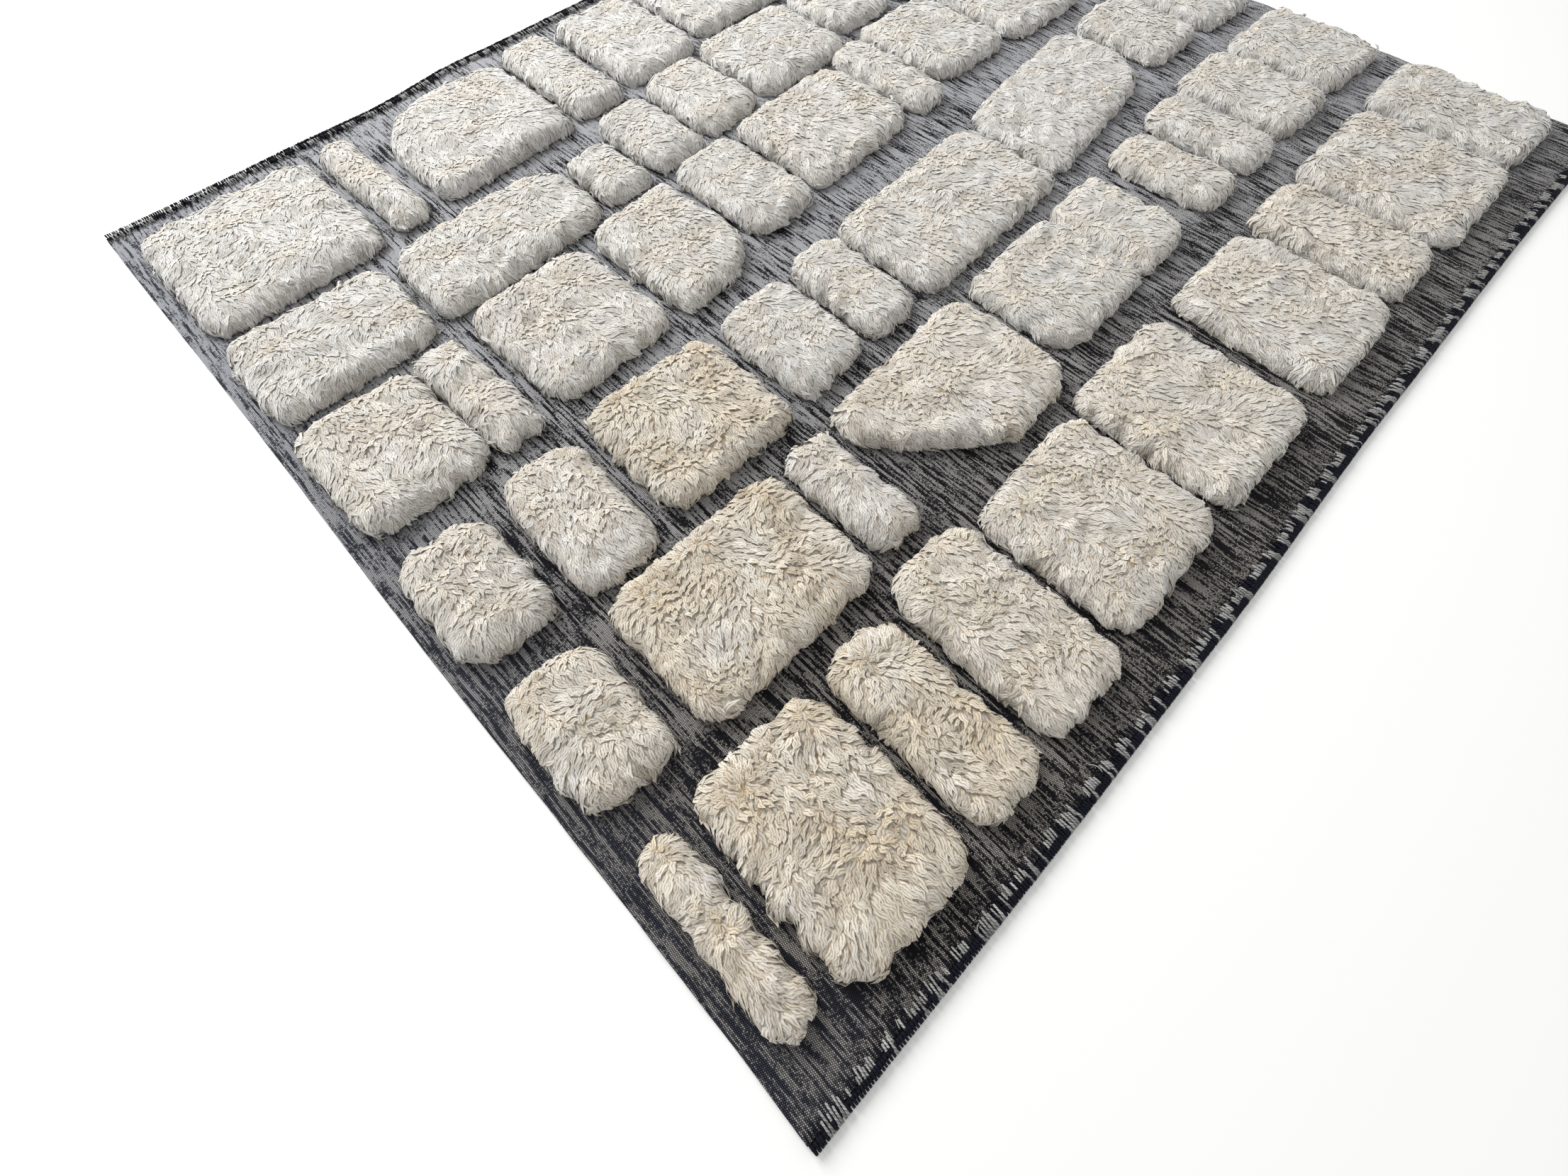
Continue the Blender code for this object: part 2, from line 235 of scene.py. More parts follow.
def pile_wool():
    finish = Finish("pile_wool", Sheen_Weight=0.2, Sheen_Roughness=0.5, Specular_IOR_Level=0.2)
    over_lock, up_lock, _ = finish.parts(finish.node("UVMap", {"uv_map": "Lock"}))
    warmth, brightness, _ = finish.parts(finish.node("UVMap", {"uv_map": "Tone"}))
    number = finish.node("Math", {"operation": "FLOOR"}, over_lock)
    start = finish.chance(finish.vector(number, 1.0, 2.0))
    wave = finish.node("Math", {"operation": "SINE"}, (up_lock * SWAYS + start) * (2 * math.pi))
    strands = (over_lock + wave * SWAY) * STRANDS
    strand = finish.node("Math", {"operation": "PINGPONG"}, strands, 0.5) * 2.0
    fibres = finish.clouds(finish.vector(over_lock * FIBRES, up_lock * FIBRES_ALONG), 1.0)
    parting = finish.clouds(finish.vector(over_lock * PARTINGS, up_lock * PARTINGS_ALONG, 9.0), 1.0, 1.0)
    uneven = strand + (fibres - 0.5) * FIBRES_OUT + (parting - 0.5) * PARTINGS_DEEP
    out = finish.ease(uneven, STRAND_FROM, STRAND_TO)
    cool_tip = finish.blend(warmth / IVORY_AT, TIP_COOL, TIP_IVORY)
    tip = finish.blend((warmth - IVORY_AT) / (1 - IVORY_AT), cool_tip, TIP_WARM)
    root = finish.blend(warmth / IVORY_AT, ROOT_COOL, ROOT_WARM)
    # Towards the knots and in the partings the tip's colour gives way to the root's: painted shade, with
    # some grease near the knots
    lit_tip_share = finish.ease(up_lock, 0.0, ROOT_SHARE) * (PARTING_LIT_SHARE + out * (1 - PARTING_LIT_SHARE))
    colour = finish.blend(lit_tip_share, root, tip)
    # A lock's brightness holds its own dullness, painted shade in the valleys between tufts and painted
    # light on their tops
    shade = (DULLEST + brightness * BRIGHTER) * (1 - FIBRE_SHADE / 2 + fibres * FIBRE_SHADE)
    colour = finish.blend(1.0 - shade, colour, DULL_AND_SHADED_WOOL)
    roughness = WOOL_ROUGH + fibres * FIBRES_ROUGHER
    height = out * STRANDS_STAND + fibres * FIBRES_STAND
    return finish.dress(colour, roughness, height, STRAND_DEPTH)


PILE_WOOL = pile_wool()
print("pile wool:", len(PILE_WOOL.node_tree.nodes), "nodes")

# %% [markdown]
# ## The marled ground
# The ground is a plain weave of yarn that was spun from dark and pale wool together. Seen close, it
# is a grid of small pale crossings on near-black, and along each weft the pale wool comes and goes
# in streaks a few centimetres long. So the finish counts the crossings, gives each one its own
# chance of being pale, and lets slow noise along every weft decide how high that chance is. The pale
# wool isn't the same everywhere: it is brownish at the near edge, cooler and paler further in, and a
# little blue at the left end.

# %% Mix the marled weave
CROSSING = 0.0023  # from one crossing of the weave to the next
WEFT_WANDER = 0.008  # how far the wefts stray from straight
WANDERS = (3.0, 9.0, 0.0)  # times in a metre along X and along Y
YARN_NARROW, YARN_SHORT = 3.4, 4.6  # how fast a crossing's yarn ends across and along a weft
YARN_RIM, YARN_CROWN = 1.08, 0.25
STREAK_TURNS, STREAKS = 0.5, 13.0  # how unlike two wefts are, and how often a weft changes in a metre
PATCHES = (9.0, 6.0, 0.0)
# In each pair of colours the first is the gap between crossings, the same yarn painted darker as shade, and
# the second the crossing
DARK_GAP_SHADE, DARK_YARN = (0.003, 0.003, 0.005), (0.015, 0.014, 0.017)
# The palest wool, brownish at the near edge and bluish further in
NEAR_GAP_SHADE, NEAR_YARN = (0.055, 0.051, 0.047), (0.50, 0.465, 0.425)
FAR_GAP_SHADE, FAR_YARN = (0.16, 0.16, 0.172), (0.82, 0.83, 0.86)
NEAR_Y, FAR_Y = -1.2, 0.1
FAR_SLANT = 0.35  # how much going right counts as going further in
BLUE_YARN, BLUENESS = (0.20, 0.23, 0.32), 0.25
BLUE_TO, BLUE_FROM = -1.0, -1.25
# How much a crossing's paleness depends on its streak, on chance, on its patch and on how far in it is
BY_STREAK, BY_CHANCE, BY_PATCH, BY_FAR = 3.3, 0.45, 0.6, 0.2
PALE_FROM, PALE_TO = -0.22, 0.36
WEAVE_DEPTH = 0.0010
PALE_STANDS = 0.3  # how much higher a pale crossing stands, as a share of that depth
WEAVE_ROUGH, YARN_ROUGHER = 0.82, 0.1


def marled_weave():
    finish = Finish("marled_weave", Specular_IOR_Level=0.12)
    place = finish.node("TexCoord", None, out=3)
    x, y, _ = finish.parts(place)
    wander = finish.clouds(place * WANDERS, 1.0) - 0.5
    wefts = (x + wander * WEFT_WANDER) / CROSSING
    column = finish.node("Math", {"operation": "FLOOR"}, wefts)
    odd = finish.node("Math", {"operation": "MODULO"}, column, 2.0)
    warps = y / CROSSING + finish.node("Math", {"operation": "ABSOLUTE"}, odd) * 0.5
    row = finish.node("Math", {"operation": "FLOOR"}, warps)
    off_x = wefts - column - 0.5
    off_y = warps - row - 0.5
    squared = off_x * off_x * YARN_NARROW + off_y * off_y * YARN_SHORT
    reach = finish.node("Math", {"operation": "SQRT"}, squared)
    crossing = finish.ease(reach, YARN_RIM, YARN_CROWN)
    luck = finish.chance(finish.vector(column, row, 3.0))
    streak = finish.clouds(finish.vector(column * STREAK_TURNS, y * STREAKS, 7.0), 1.0, 2.0, 0.6)
    patch = finish.clouds(place * PATCHES + (0.0, 0.0, 2.0), 1.0)
    far = finish.ease(y + x * FAR_SLANT, NEAR_Y, FAR_Y)
    grey = (streak - 0.5) * BY_STREAK + (luck - 0.5) * BY_CHANCE + (patch - 0.5) * BY_PATCH + far * BY_FAR
    paleness = finish.ease(grey, PALE_FROM, PALE_TO)
    blue = finish.ease(x, BLUE_TO, BLUE_FROM) * BLUENESS
    # Between the crossings the yarn is painted darker, as shade
    gap_shade = finish.blend(paleness, DARK_GAP_SHADE, finish.blend(far, NEAR_GAP_SHADE, FAR_GAP_SHADE))
    yarn = finish.blend(paleness, DARK_YARN, finish.blend(far, NEAR_YARN, FAR_YARN))
    grey_weave = finish.blend(crossing, gap_shade, yarn)
    blue_weave = finish.blend(crossing, gap_shade, BLUE_YARN)
    colour = finish.blend(blue, grey_weave, blue_weave)
    roughness = WEAVE_ROUGH + crossing * YARN_ROUGHER
    height = crossing + paleness * PALE_STANDS
    return finish.dress(colour, roughness, height, WEAVE_DEPTH)


MARLED_WEAVE = marled_weave()
print("marled weave:", len(MARLED_WEAVE.node_tree.nodes), "nodes")

# %% [markdown]
# ## The overcast yarn
# The long edges are oversewn with thick two-ply yarn, in short runs of navy and of ivory. On the
# map Lock the plies are slanting stripes, and on the map Tone u tells navy from ivory.

# %% Mix the overcast yarn
YARN_NAVY = (0.005, 0.006, 0.014)
YARN_IVORY = (0.56, 0.56, 0.54)
# Dull stitches go towards this colour, and so does the painted shade in the grooves between plies
DULL_AND_SHADED_YARN = (0.010, 0.010, 0.013)  # what a dull stitch goes towards
PLIES, PLY_TURNS = 2.0, 5.0  # round the yarn, and turns of them along one stitch
FUZZ, FUZZ_ALONG = 6.0, 22.0
# How bright it is in the dullest stitch, in the painted shade of the groove between two plies and where the
# fuzz is thinnest, and how much more in the brightest stitch, on a ply and where the fuzz is thickest
DULL_STITCH, STITCH_MORE = 0.55, 0.45
PLY_GROOVE_SHADE, PLY_MORE = 0.62, 0.38
THIN_FUZZ, FUZZ_MORE = 0.78, 0.44
YARN_DEPTH = 0.0009
FUZZ_STANDS = 0.5  # how high the fuzz stands, as a share of that depth
STITCH_ROUGH, FUZZ_ROUGHER = 0.80, 0.12


def overcast_yarn():
    finish = Finish("overcast_yarn", Specular_IOR_Level=0.15)
    round_yarn, up_yarn, _ = finish.parts(finish.node("UVMap", {"uv_map": "Lock"}))
    paleness, brightness, _ = finish.parts(finish.node("UVMap", {"uv_map": "Tone"}))
    turn = (round_yarn * PLIES + up_yarn * PLY_TURNS) * (2 * math.pi)
    ply = finish.node("Math", {"operation": "SINE"}, turn) * 0.5 + 0.5
    fuzz = finish.clouds(finish.vector(round_yarn * FUZZ, up_yarn * FUZZ_ALONG), 1.0, 3.0, 0.65)
    yarn = finish.blend(paleness, YARN_NAVY, YARN_IVORY)
    # The grooves between the plies are painted darker, as shade
    shade = (DULL_STITCH + brightness * STITCH_MORE) * (PLY_GROOVE_SHADE + ply * PLY_MORE)
    shade = shade * (THIN_FUZZ + fuzz * FUZZ_MORE)
    colour = finish.blend(1.0 - shade, yarn, DULL_AND_SHADED_YARN)
    roughness = STITCH_ROUGH + fuzz * FUZZ_ROUGHER
    height = ply + fuzz * FUZZ_STANDS
    return finish.dress(colour, roughness, height, YARN_DEPTH)


OVERCAST_YARN = overcast_yarn()
print("overcast yarn:", len(OVERCAST_YARN.node_tree.nodes), "nodes")

# %% [markdown]
# ## Meshes from arrays
# A coat of wool has hundreds of thousands of points, far too many for a Python loop over each one.
# NumPy holds them as arrays instead, and a mesh takes whole arrays at once. A `Wool` is one such
# set of points and triangles, with its maps. Several are put together into one piece of the rug.
# Fluffy wool has no crisp facets, as light gets in between its fibres. So a point may also carry a
# way that it should seem to face, and the mesh's own normals are turned part of the way to it.

# %% Helpers for arrays of points
class Wool(NamedTuple):
    """Points, triangles, whether each triangle is shaded smooth, maps with a place for each
    triangle's corner, and for each point a way that it should seem to face, as long as how much."""

    points: np.ndarray
    triangles: np.ndarray
    smooth: np.ndarray
    maps: dict
    shading: np.ndarray


def unit(vectors):
    lengths = np.linalg.norm(vectors, axis=-1, keepdims=True)
    return vectors / np.maximum(lengths, 1e-9)


def together(*wools):
    """Several sets of wool as one."""
    shifts = np.cumsum([0] + [len(wool.points) for wool in wools[:-1]])
    points = np.concatenate([wool.points for wool in wools])
    triangles = np.concatenate([wool.triangles + shift for wool, shift in zip(wools, shifts)])
    smooth = np.concatenate([wool.smooth for wool in wools])
    maps = {name: np.concatenate([wool.maps[name] for wool in wools]) for name in wools[0].maps}
    shading = np.concatenate([wool.shading for wool in wools])
    return Wool(points, triangles, smooth, maps, shading)


def soften(mesh, wool):
    """Turns the smooth corners' normals part of the way to how their points should seem to face."""
    own = np.empty(wool.triangles.size * 3, np.float32)
    mesh.corner_normals.foreach_get("vector", own)
    own = own.reshape(-1, 3)
    asked = wool.shading[wool.triangles.ravel()] * wool.smooth.repeat(3)[:, None]
    turned = unit(own * (1 - np.linalg.norm(asked, axis=1, keepdims=True)) + asked)
    layer = mesh.attributes.new("custom_normal", "FLOAT_VECTOR", "CORNER")
    layer.data.foreach_set("vector", turned.astype(np.float32).ravel())


def make_piece(name, wool, material, node):
    """A mesh object that stands for one CAD node and rides on the rug."""
    mesh = bpy.data.meshes.new(name)
    mesh.vertices.add(len(wool.points))
    mesh.vertices.foreach_set("co", wool.points.astype(np.float32).ravel())
    mesh.loops.add(wool.triangles.size)
    mesh.loops.foreach_set("vertex_index", wool.triangles.astype(np.int32).ravel())
    mesh.polygons.add(len(wool.triangles))
    mesh.polygons.foreach_set("loop_start", np.arange(0, wool.triangles.size, 3, dtype=np.int32))
    for map_name, places in wool.maps.items():
        layer = mesh.uv_layers.new(name=map_name)
        layer.data.foreach_set("uv", places.astype(np.float32).ravel())
    mesh.polygons.foreach_set("use_smooth", wool.smooth)
    mesh.update(calc_edges=True)
    soften(mesh, wool)
    mesh.materials.append(material)
    piece = bpy.data.objects.new(name, mesh)
    bpy.context.scene.collection.objects.link(piece)
    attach(piece, "root")
    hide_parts(node)
    return piece


def solid_of(node):
    """A CAD node's points, joined where they meet, and its triangles."""
    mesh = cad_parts[node].data
    mesh.calc_loop_triangles()
    places = np.empty(3 * len(mesh.vertices), np.float32)
    mesh.vertices.foreach_get("co", places)
    corners = np.empty(3 * len(mesh.loop_triangles), np.int32)
    mesh.loop_triangles.foreach_get("vertices", corners)
    points, joined = np.unique(places.reshape(-1, 3).round(6), axis=0, return_inverse=True)
    return points.astype(float), joined.ravel()[corners].reshape(-1, 3)


def triangle_crosses(points, triangles):
    a, b, c = (points[triangles[:, i]] for i in range(3))
    return np.cross(b - a, c - a)


def point_normals(points, triangles):
    """Smooth normals: each point takes the mean of its triangles, by their areas."""
    normals = np.zeros_like(points)
    crosses = triangle_crosses(points, triangles)
    for corner in range(3):
        np.add.at(normals, triangles[:, corner], crosses)
    return unit(normals)


print("array helpers are ready")

# %% [markdown]
# ## A spun lock or stitch
# A lock of wool and a stitch of yarn have the same simple form: a spindle, thin at both ends, that
# follows a bent path. Hair curves would draw them too, but they don't export as solid meshes. Only
# the ring differs: yarn has four sides, and a lock has three, a flat bundle with a low ridge.
# Every spindle of a kind has the same layout, so one small table of corners serves them all, and a
# whole coat is made by adding each spindle's first index to that table.

# %% Spin spindles along paths
class Ring(NamedTuple):
    """A cross-section: its points as (across, up), the map Lock's u at both ends of each side, and
    how many of its first sides are shaded flat."""

    points: tuple
    turns: tuple
    flat: int


YARN_RING = Ring(
    points=((0.7, -0.6), (-0.7, -0.6), (-0.7, 0.6), (0.7, 0.6)),
    turns=((0.0, 0.25), (0.25, 0.5), (0.5, 0.75), (0.75, 1.0)),
    flat=0,
)
LOCK_RING = Ring(
    points=((1.0, 0.0), (-1.0, 0.0), (0.0, 0.14)),
    turns=((1.0, 0.0), (0.0, 0.5), (0.5, 1.0)),
    flat=1,
)
BAKE_SHARE = 0.9  # of the baking map's width that spindles take; the rest is for what carries them
BAKE_MARGIN = 0.06  # round each spindle's cell on that map


def spindle_table(stations, ring):
    """Corners of one spindle's triangles, and each corner's place on the baking map and on the map
    Lock, with v as the number of its station."""
    sides = len(ring.points)
    corners, baked, locked = [], [], []
    last = (stations - 2) * sides + 1

    def add(side, *steps):
        """One triangle of a side, from its (0, 0.5 or 1 across the side, station) steps."""
        first, final = ring.turns[side]
        baked.append([((side + across) / sides, station) for across, station in steps])
        locked.append([(first + (final - first) * across, station) for across, station in steps])

    for side in range(sides):
        after = (side + 1) % sides
        corners.append((0, 1 + after, 1 + side))
        add(side, (0.5, 0), (1, 1), (0, 1))
        for station in range(1, stations - 2):
            low = 1 + (station - 1) * sides
            high = low + sides
            corners.append((low + side, low + after, high + after))
            add(side, (0, station), (1, station), (1, station + 1))
            corners.append((low + side, high + after, high + side))
            add(side, (0, station), (1, station + 1), (0, station + 1))
        top = 1 + (stations - 3) * sides
        corners.append((top + side, top + after, last))
        add(side, (0, stations - 2), (1, stations - 2), (0.5, stations - 1))
    return np.array(corners), np.array(baked, float), np.array(locked, float)


def spin(paths, widths, ring, upward, tones, softness=0.0):
    """Spindles along paths: (count, stations, 3) places with (count, stations) half widths. Upward is
    the way that their upper side faces at each inner station, tones what their map Tone says, and
    softness how much they are shaded as if they were one surface."""
    count, stations, _ = paths.shape
    along = unit(paths[:, 2:] - paths[:, :-2])
    across = unit(np.cross(along, upward))
    above = np.cross(across, along)
    shape = np.array(ring.points)
    rings = paths[:, 1:-1, None, :] + widths[:, 1:-1, None, None] * (
        shape[:, :1] * across[:, :, None, :] + shape[:, 1:] * above[:, :, None, :]
    )
    points = np.concatenate([paths[:, :1], rings.reshape(count, -1, 3), paths[:, -1:]], axis=1)
    station_of = np.clip((np.arange(points.shape[1]) - 1) // len(ring.points), 0, stations - 3)
    corners, baked, locked = spindle_table(stations, ring)
    steps = np.linalg.norm(np.diff(paths, axis=1), axis=2).mean(axis=0)
    up_share = np.concatenate([[0.0], np.cumsum(steps) / steps.sum()])[baked[..., 1].astype(int)]
    columns = math.ceil(math.sqrt(count * BAKE_SHARE))
    rows = math.ceil(count / columns)
    number = np.arange(count)[:, None, None]
    cell = np.stack(np.broadcast_arrays(number % columns, number // columns), axis=3)
    inner = BAKE_MARGIN + (1 - 2 * BAKE_MARGIN) * np.stack([baked[..., 0], up_share], axis=2)
    maps = {
        "OFBake": (cell + inner) / (columns / BAKE_SHARE, rows),
        "Lock": np.stack(np.broadcast_arrays(number + locked[..., 0], up_share), axis=3),
        "Tone": np.broadcast_to(tones[:, None, None, :], (count, *up_share.shape, 2)),
    }
    return Wool(
        points.reshape(-1, 3),
        (np.arange(count)[:, None, None] * points.shape[1] + corners).reshape(-1, 3),
        np.tile(np.arange(len(corners)) * len(ring.points) >= ring.flat * len(corners), count),
        {name: values.reshape(-1, 2) for name, values in maps.items()},
        softness * unit(np.broadcast_to(upward, (count, stations - 2, 3)))[:, station_of].reshape(-1, 3),
    )


def under_wool(points, triangles, up_lock, tone):
    """What carries the spindles, as wool: one place on the map Lock, and a plan on the baking map, its
    upper side in the upper half and its lower side in the lower half."""
    corners = points[triangles]
    low, high = points.min(axis=0), points.max(axis=0)
    plan = (corners[..., :2] - low[:2]) / (high - low)[:2]
    upper = (triangle_crosses(points, triangles)[:, 2] > 0)[:, None]
    baked = np.stack([
        BAKE_SHARE + (1 - BAKE_SHARE) * (0.06 + 0.88 * plan[..., 0]),
        np.where(upper, 0.51, 0.01) + 0.48 * plan[..., 1],
    ], axis=2)
    maps = {
        "OFBake": baked,
        "Lock": np.broadcast_to((0.5, up_lock), baked.shape),
        "Tone": np.broadcast_to(tone, baked.shape),
    }
    smooth = np.ones(len(triangles), dtype=bool)
    maps = {name: values.reshape(-1, 2) for name, values in maps.items()}
    return Wool(points, triangles, smooth, maps, np.zeros_like(points))


print("one lock of 4 stations has", len(spindle_table(4, LOCK_RING)[0]), "triangles")

# %% [markdown]
# ## Slow chance over the rug
# Wool that grows, dyes and wears unevenly needs values that change slowly from place to place. A sum
# of a few long waves with seeded directions gives that, for any number of places at once.

# %% Slow random waves
class Drift:
    """A smooth random value over the rug, with a spread of about 1 and waves of about that length."""

    def __init__(self, seed, wavelength, waves=9):
        draw = np.random.default_rng(seed)
        turns = draw.uniform(0, 2 * np.pi, waves)
        crowding = draw.uniform(0.6, 1.7, waves)
        self.waves = np.stack([np.cos(turns), np.sin(turns)]) * crowding * 2 * np.pi / wavelength
        self.phases = draw.uniform(0, 2 * np.pi, waves)

    def at(self, places):
        return np.sin(places[:, :2] @ self.waves + self.phases).sum(axis=1) * math.sqrt(2 / len(self.phases))


wander_x, wander_y = Drift(11, 0.15), Drift(12, 0.15)
tufts = Drift(14, 0.055)
warm_patches = Drift(13, 0.16)
some_places = np.random.default_rng(1).uniform(-1, 1, (2000, 2))
print(f"spread of a drift: {warm_patches.at(some_places).std():.2f}")

# %% [markdown]
# ## The ground cloth
# The cloth lies flat, but handwoven cloth is never quite even: it swells a little between the rows
# of pile. A grid of points follows the solid's four edges, rises and falls by a millimetre or two,
# and is closed below by one flat face.

# %% Weave the ground
GRID_X, GRID_Y = 166, 82
SWELL = 0.0007  # the spread of its rises and falls, which reach about three times that
EDGE_STRIP = 0.03  # from a short end, where its outline points are looked for
EDGE_STEP = 0.03  # a step as big as this, from one point to the next, isn't the edge's own
EDGE_WANDER = 0.12  # the most that a long edge strays from straight
SHARP_FOLD = 50  # degrees
PLAN_SHARE = 0.84  # of the baking map's height for the cloth's top
WALL_LOW, WALL_HIGH = 0.85, 0.86
BASE_LOW, BASE_SHARE = 0.87, 0.12

ground_points, _ = solid_of("ground")
top_points = ground_points[ground_points[:, 2] > rug_high.z / 2]


def edge_line(side):
    """The y of a long edge of the cloth, as a function of x."""
    band = top_points[side * top_points[:, 1] > abs(rug_low.y if side < 0 else rug_high.y) - EDGE_WANDER]
    stations = np.unique(band[:, 0].round(4))
    reach = [(side * band[abs(band[:, 0] - x) < 1e-3, 1]).max() * side for x in stations]
    kept = np.abs(np.diff(reach, prepend=reach[0])) < EDGE_STEP
    return lambda x: np.interp(x, stations[kept], np.array(reach)[kept])


def end_line(side):
    """The x of a short end of the cloth, as a function of y."""
    band = top_points[side * top_points[:, 0] > rug_high.x - EDGE_STRIP]
    order = np.argsort(band[:, 1])
    return lambda y: np.interp(y, band[order, 1], band[order, 0])


near_edge, far_edge = edge_line(-1), edge_line(1)
left_end, right_end = end_line(-1), end_line(1)


def weave_ground():
    share_x, share_y = np.meshgrid(np.linspace(0, 1, GRID_X + 1), np.linspace(0, 1, GRID_Y + 1))
    flat_y = rug_low.y + (rug_high.y - rug_low.y) * share_y
    x = left_end(flat_y) + (right_end(flat_y) - left_end(flat_y)) * share_x
    y = near_edge(x) + (far_edge(x) - near_edge(x)) * share_y
    places = np.stack([x.ravel(), y.ravel()], axis=1)
    z = rug_high.z + SWELL * Drift(21, 0.11).at(places)
    top = np.column_stack([places, z])
    index = np.arange(len(top)).reshape(share_x.shape)
    rim = np.concatenate([index[0, :-1], index[:-1, -1], index[-1, :0:-1], index[:0:-1, 0]])
    bottom = top[rim] * (1, 1, 0)
    a, b, c, d = index[:-1, :-1], index[:-1, 1:], index[1:, 1:], index[1:, :-1]
    quads = np.stack([a, b, c, d], axis=2).reshape(-1, 4)
    after = np.roll(rim, -1)
    below = len(top) + np.arange(len(rim))
    walls = np.stack([below, np.roll(below, -1), after, rim], axis=1)
    return np.concatenate([top, bottom]), quads, walls, below[::-1]


def ground_map(points, quads, walls, base):
    """A plan of the top, a strip for the walls, and a small plan of the base, side by side."""
    plan = (points[:, :2] - points[:, :2].min(axis=0)) / np.ptp(points[:, :2], axis=0)
    top = plan[quads] * (1, PLAN_SHARE)
    steps = np.linspace(0, 1, len(walls) + 1)
    wall = np.empty((len(walls), 4, 2))
    wall[:, (0, 3), 0] = steps[:-1, None]
    wall[:, (1, 2), 0] = steps[1:, None]
    wall[:, (0, 1), 1] = WALL_LOW
    wall[:, (2, 3), 1] = WALL_HIGH
    under = plan[base] * (1, BASE_SHARE) + (0, BASE_LOW)
    return np.concatenate([top.reshape(-1, 2), wall.reshape(-1, 2), under])


points, quads, walls, base = weave_ground()
ground_mesh = bpy.data.meshes.new("ground_cloth")
ground_mesh.from_pydata(points.tolist(), [], [*quads.tolist(), *walls.tolist(), base.tolist()])
baking_map = ground_mesh.uv_layers.new(name="OFBake")
baking_map.data.foreach_set("uv", ground_map(points, quads, walls, base).ravel())
ground_mesh.shade_smooth()
ground_mesh.set_sharp_from_angle(angle=math.radians(SHARP_FOLD))
ground_mesh.materials.append(MARLED_WEAVE)
ground_cloth = bpy.data.objects.new("ground_cloth", ground_mesh)
bpy.context.scene.collection.objects.link(ground_cloth)
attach(ground_cloth, "root")
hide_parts("ground")
print("ground cloth:", len(ground_mesh.polygons), "faces")

# %% [markdown]
# ## The overcast edges
# Along each long edge the weaver sewed short bars of thick yarn into the cloth, a few side by side
# of ivory and then a few of navy, and wound the rim over their outer ends, mostly with navy. So two
# kinds of stitch are spun here: flat bars that lie across the edge, and turns that run over the
# edge's bead and down its outer side. The bead itself is the CAD solid's shape in dark wool.

# %% Wind the edges
STITCH_STEP = 0.0043  # from one stitch to the next
FIRST_STITCH = 0.8  # steps in from the left end
STITCH_STRAY = 0.0004  # how far each one strays along the edge from its even place
BAR_HALF, TURN_HALF = 0.0018, 0.0024
BAR_RUN = {"ivory": (4, 9), "navy": (2, 7)}  # side by side in one colour: from this many to fewer than this
BAR_IN = (0.017, 0.026)  # how far in from the edge a bar starts
BAR_HEIGHTS = (0.0042, 0.0076, 0.0092, 0.0094, 0.0062)
BAR_ACROSS = (1.0, 0.95, 0.70, 0.45, 0.22)  # of how far in it starts
SLANT = 0.004  # how far a stitch drifts along the edge
# Shares: bars of the wrong colour, and turns as pale as the bars below them
ODD_BARS, PALE_TURNS = 0.12, 0.40
PALE_RUNS = 71  # radians in a metre of how the pale turns come and go
UNEVEN = 0.0003  # how much one stitch stands higher than another
# A turn's path over the bead: across the edge from its outer side, and height
OVER_ACROSS = np.array([0.0105, 0.0098, 0.0065, 0.0028, 0.0002, 0.0020, 0.0060])
OVER_HEIGHT = np.array([0.0080, 0.0094, 0.0108, 0.0097, 0.0055, 0.0022, 0.0018])
CORE_SHRINK = 0.0012
CORE_FOOT = 0.001  # the bead stays as wide as it is below this height
# The bead is navy yarn, made dull as painted shade in the gaps between the stitches
CORE_UP, CORE_SHADED_TONE = 0.3, (0.0, 0.4)  # its place along a stitch, and rather dull navy
CORE_SHORTEN = 0.9995  # of the bead's length, so that the stitches reach past its ends
STRAY_ENDS = 14  # loose ends of yarn along one edge
STRAY_LONG = (0.012, 0.026)
STRAY_HALF = 0.0009
STRAY_CLEAR, STRAY_IN = 0.05, 0.012  # of the rug's ends, and how far in from the edge one starts
STRAY_HIGH, STRAY_FALL, STRAY_LOOP = 0.0105, 0.0035, 0.004  # how high it starts, falls and loops


def bar_tones(draw, count):
    """Which bars are ivory, in short uneven runs, and how bright each is."""
    paleness = np.empty(count)
    at, colour = 0, "navy"
    while at < count:
        run = draw.integers(*BAR_RUN[colour])
        paleness[at:at + run] = colour == "ivory"
        at += run
        colour = "navy" if colour == "ivory" else "ivory"
    odd_ones = draw.random(count) < ODD_BARS
    paleness[odd_ones] = 1.0 - paleness[odd_ones]
    softened = paleness * draw.uniform(0.65, 1.0, count)
    return np.column_stack([softened, draw.uniform(0.35, 1.0, count)])


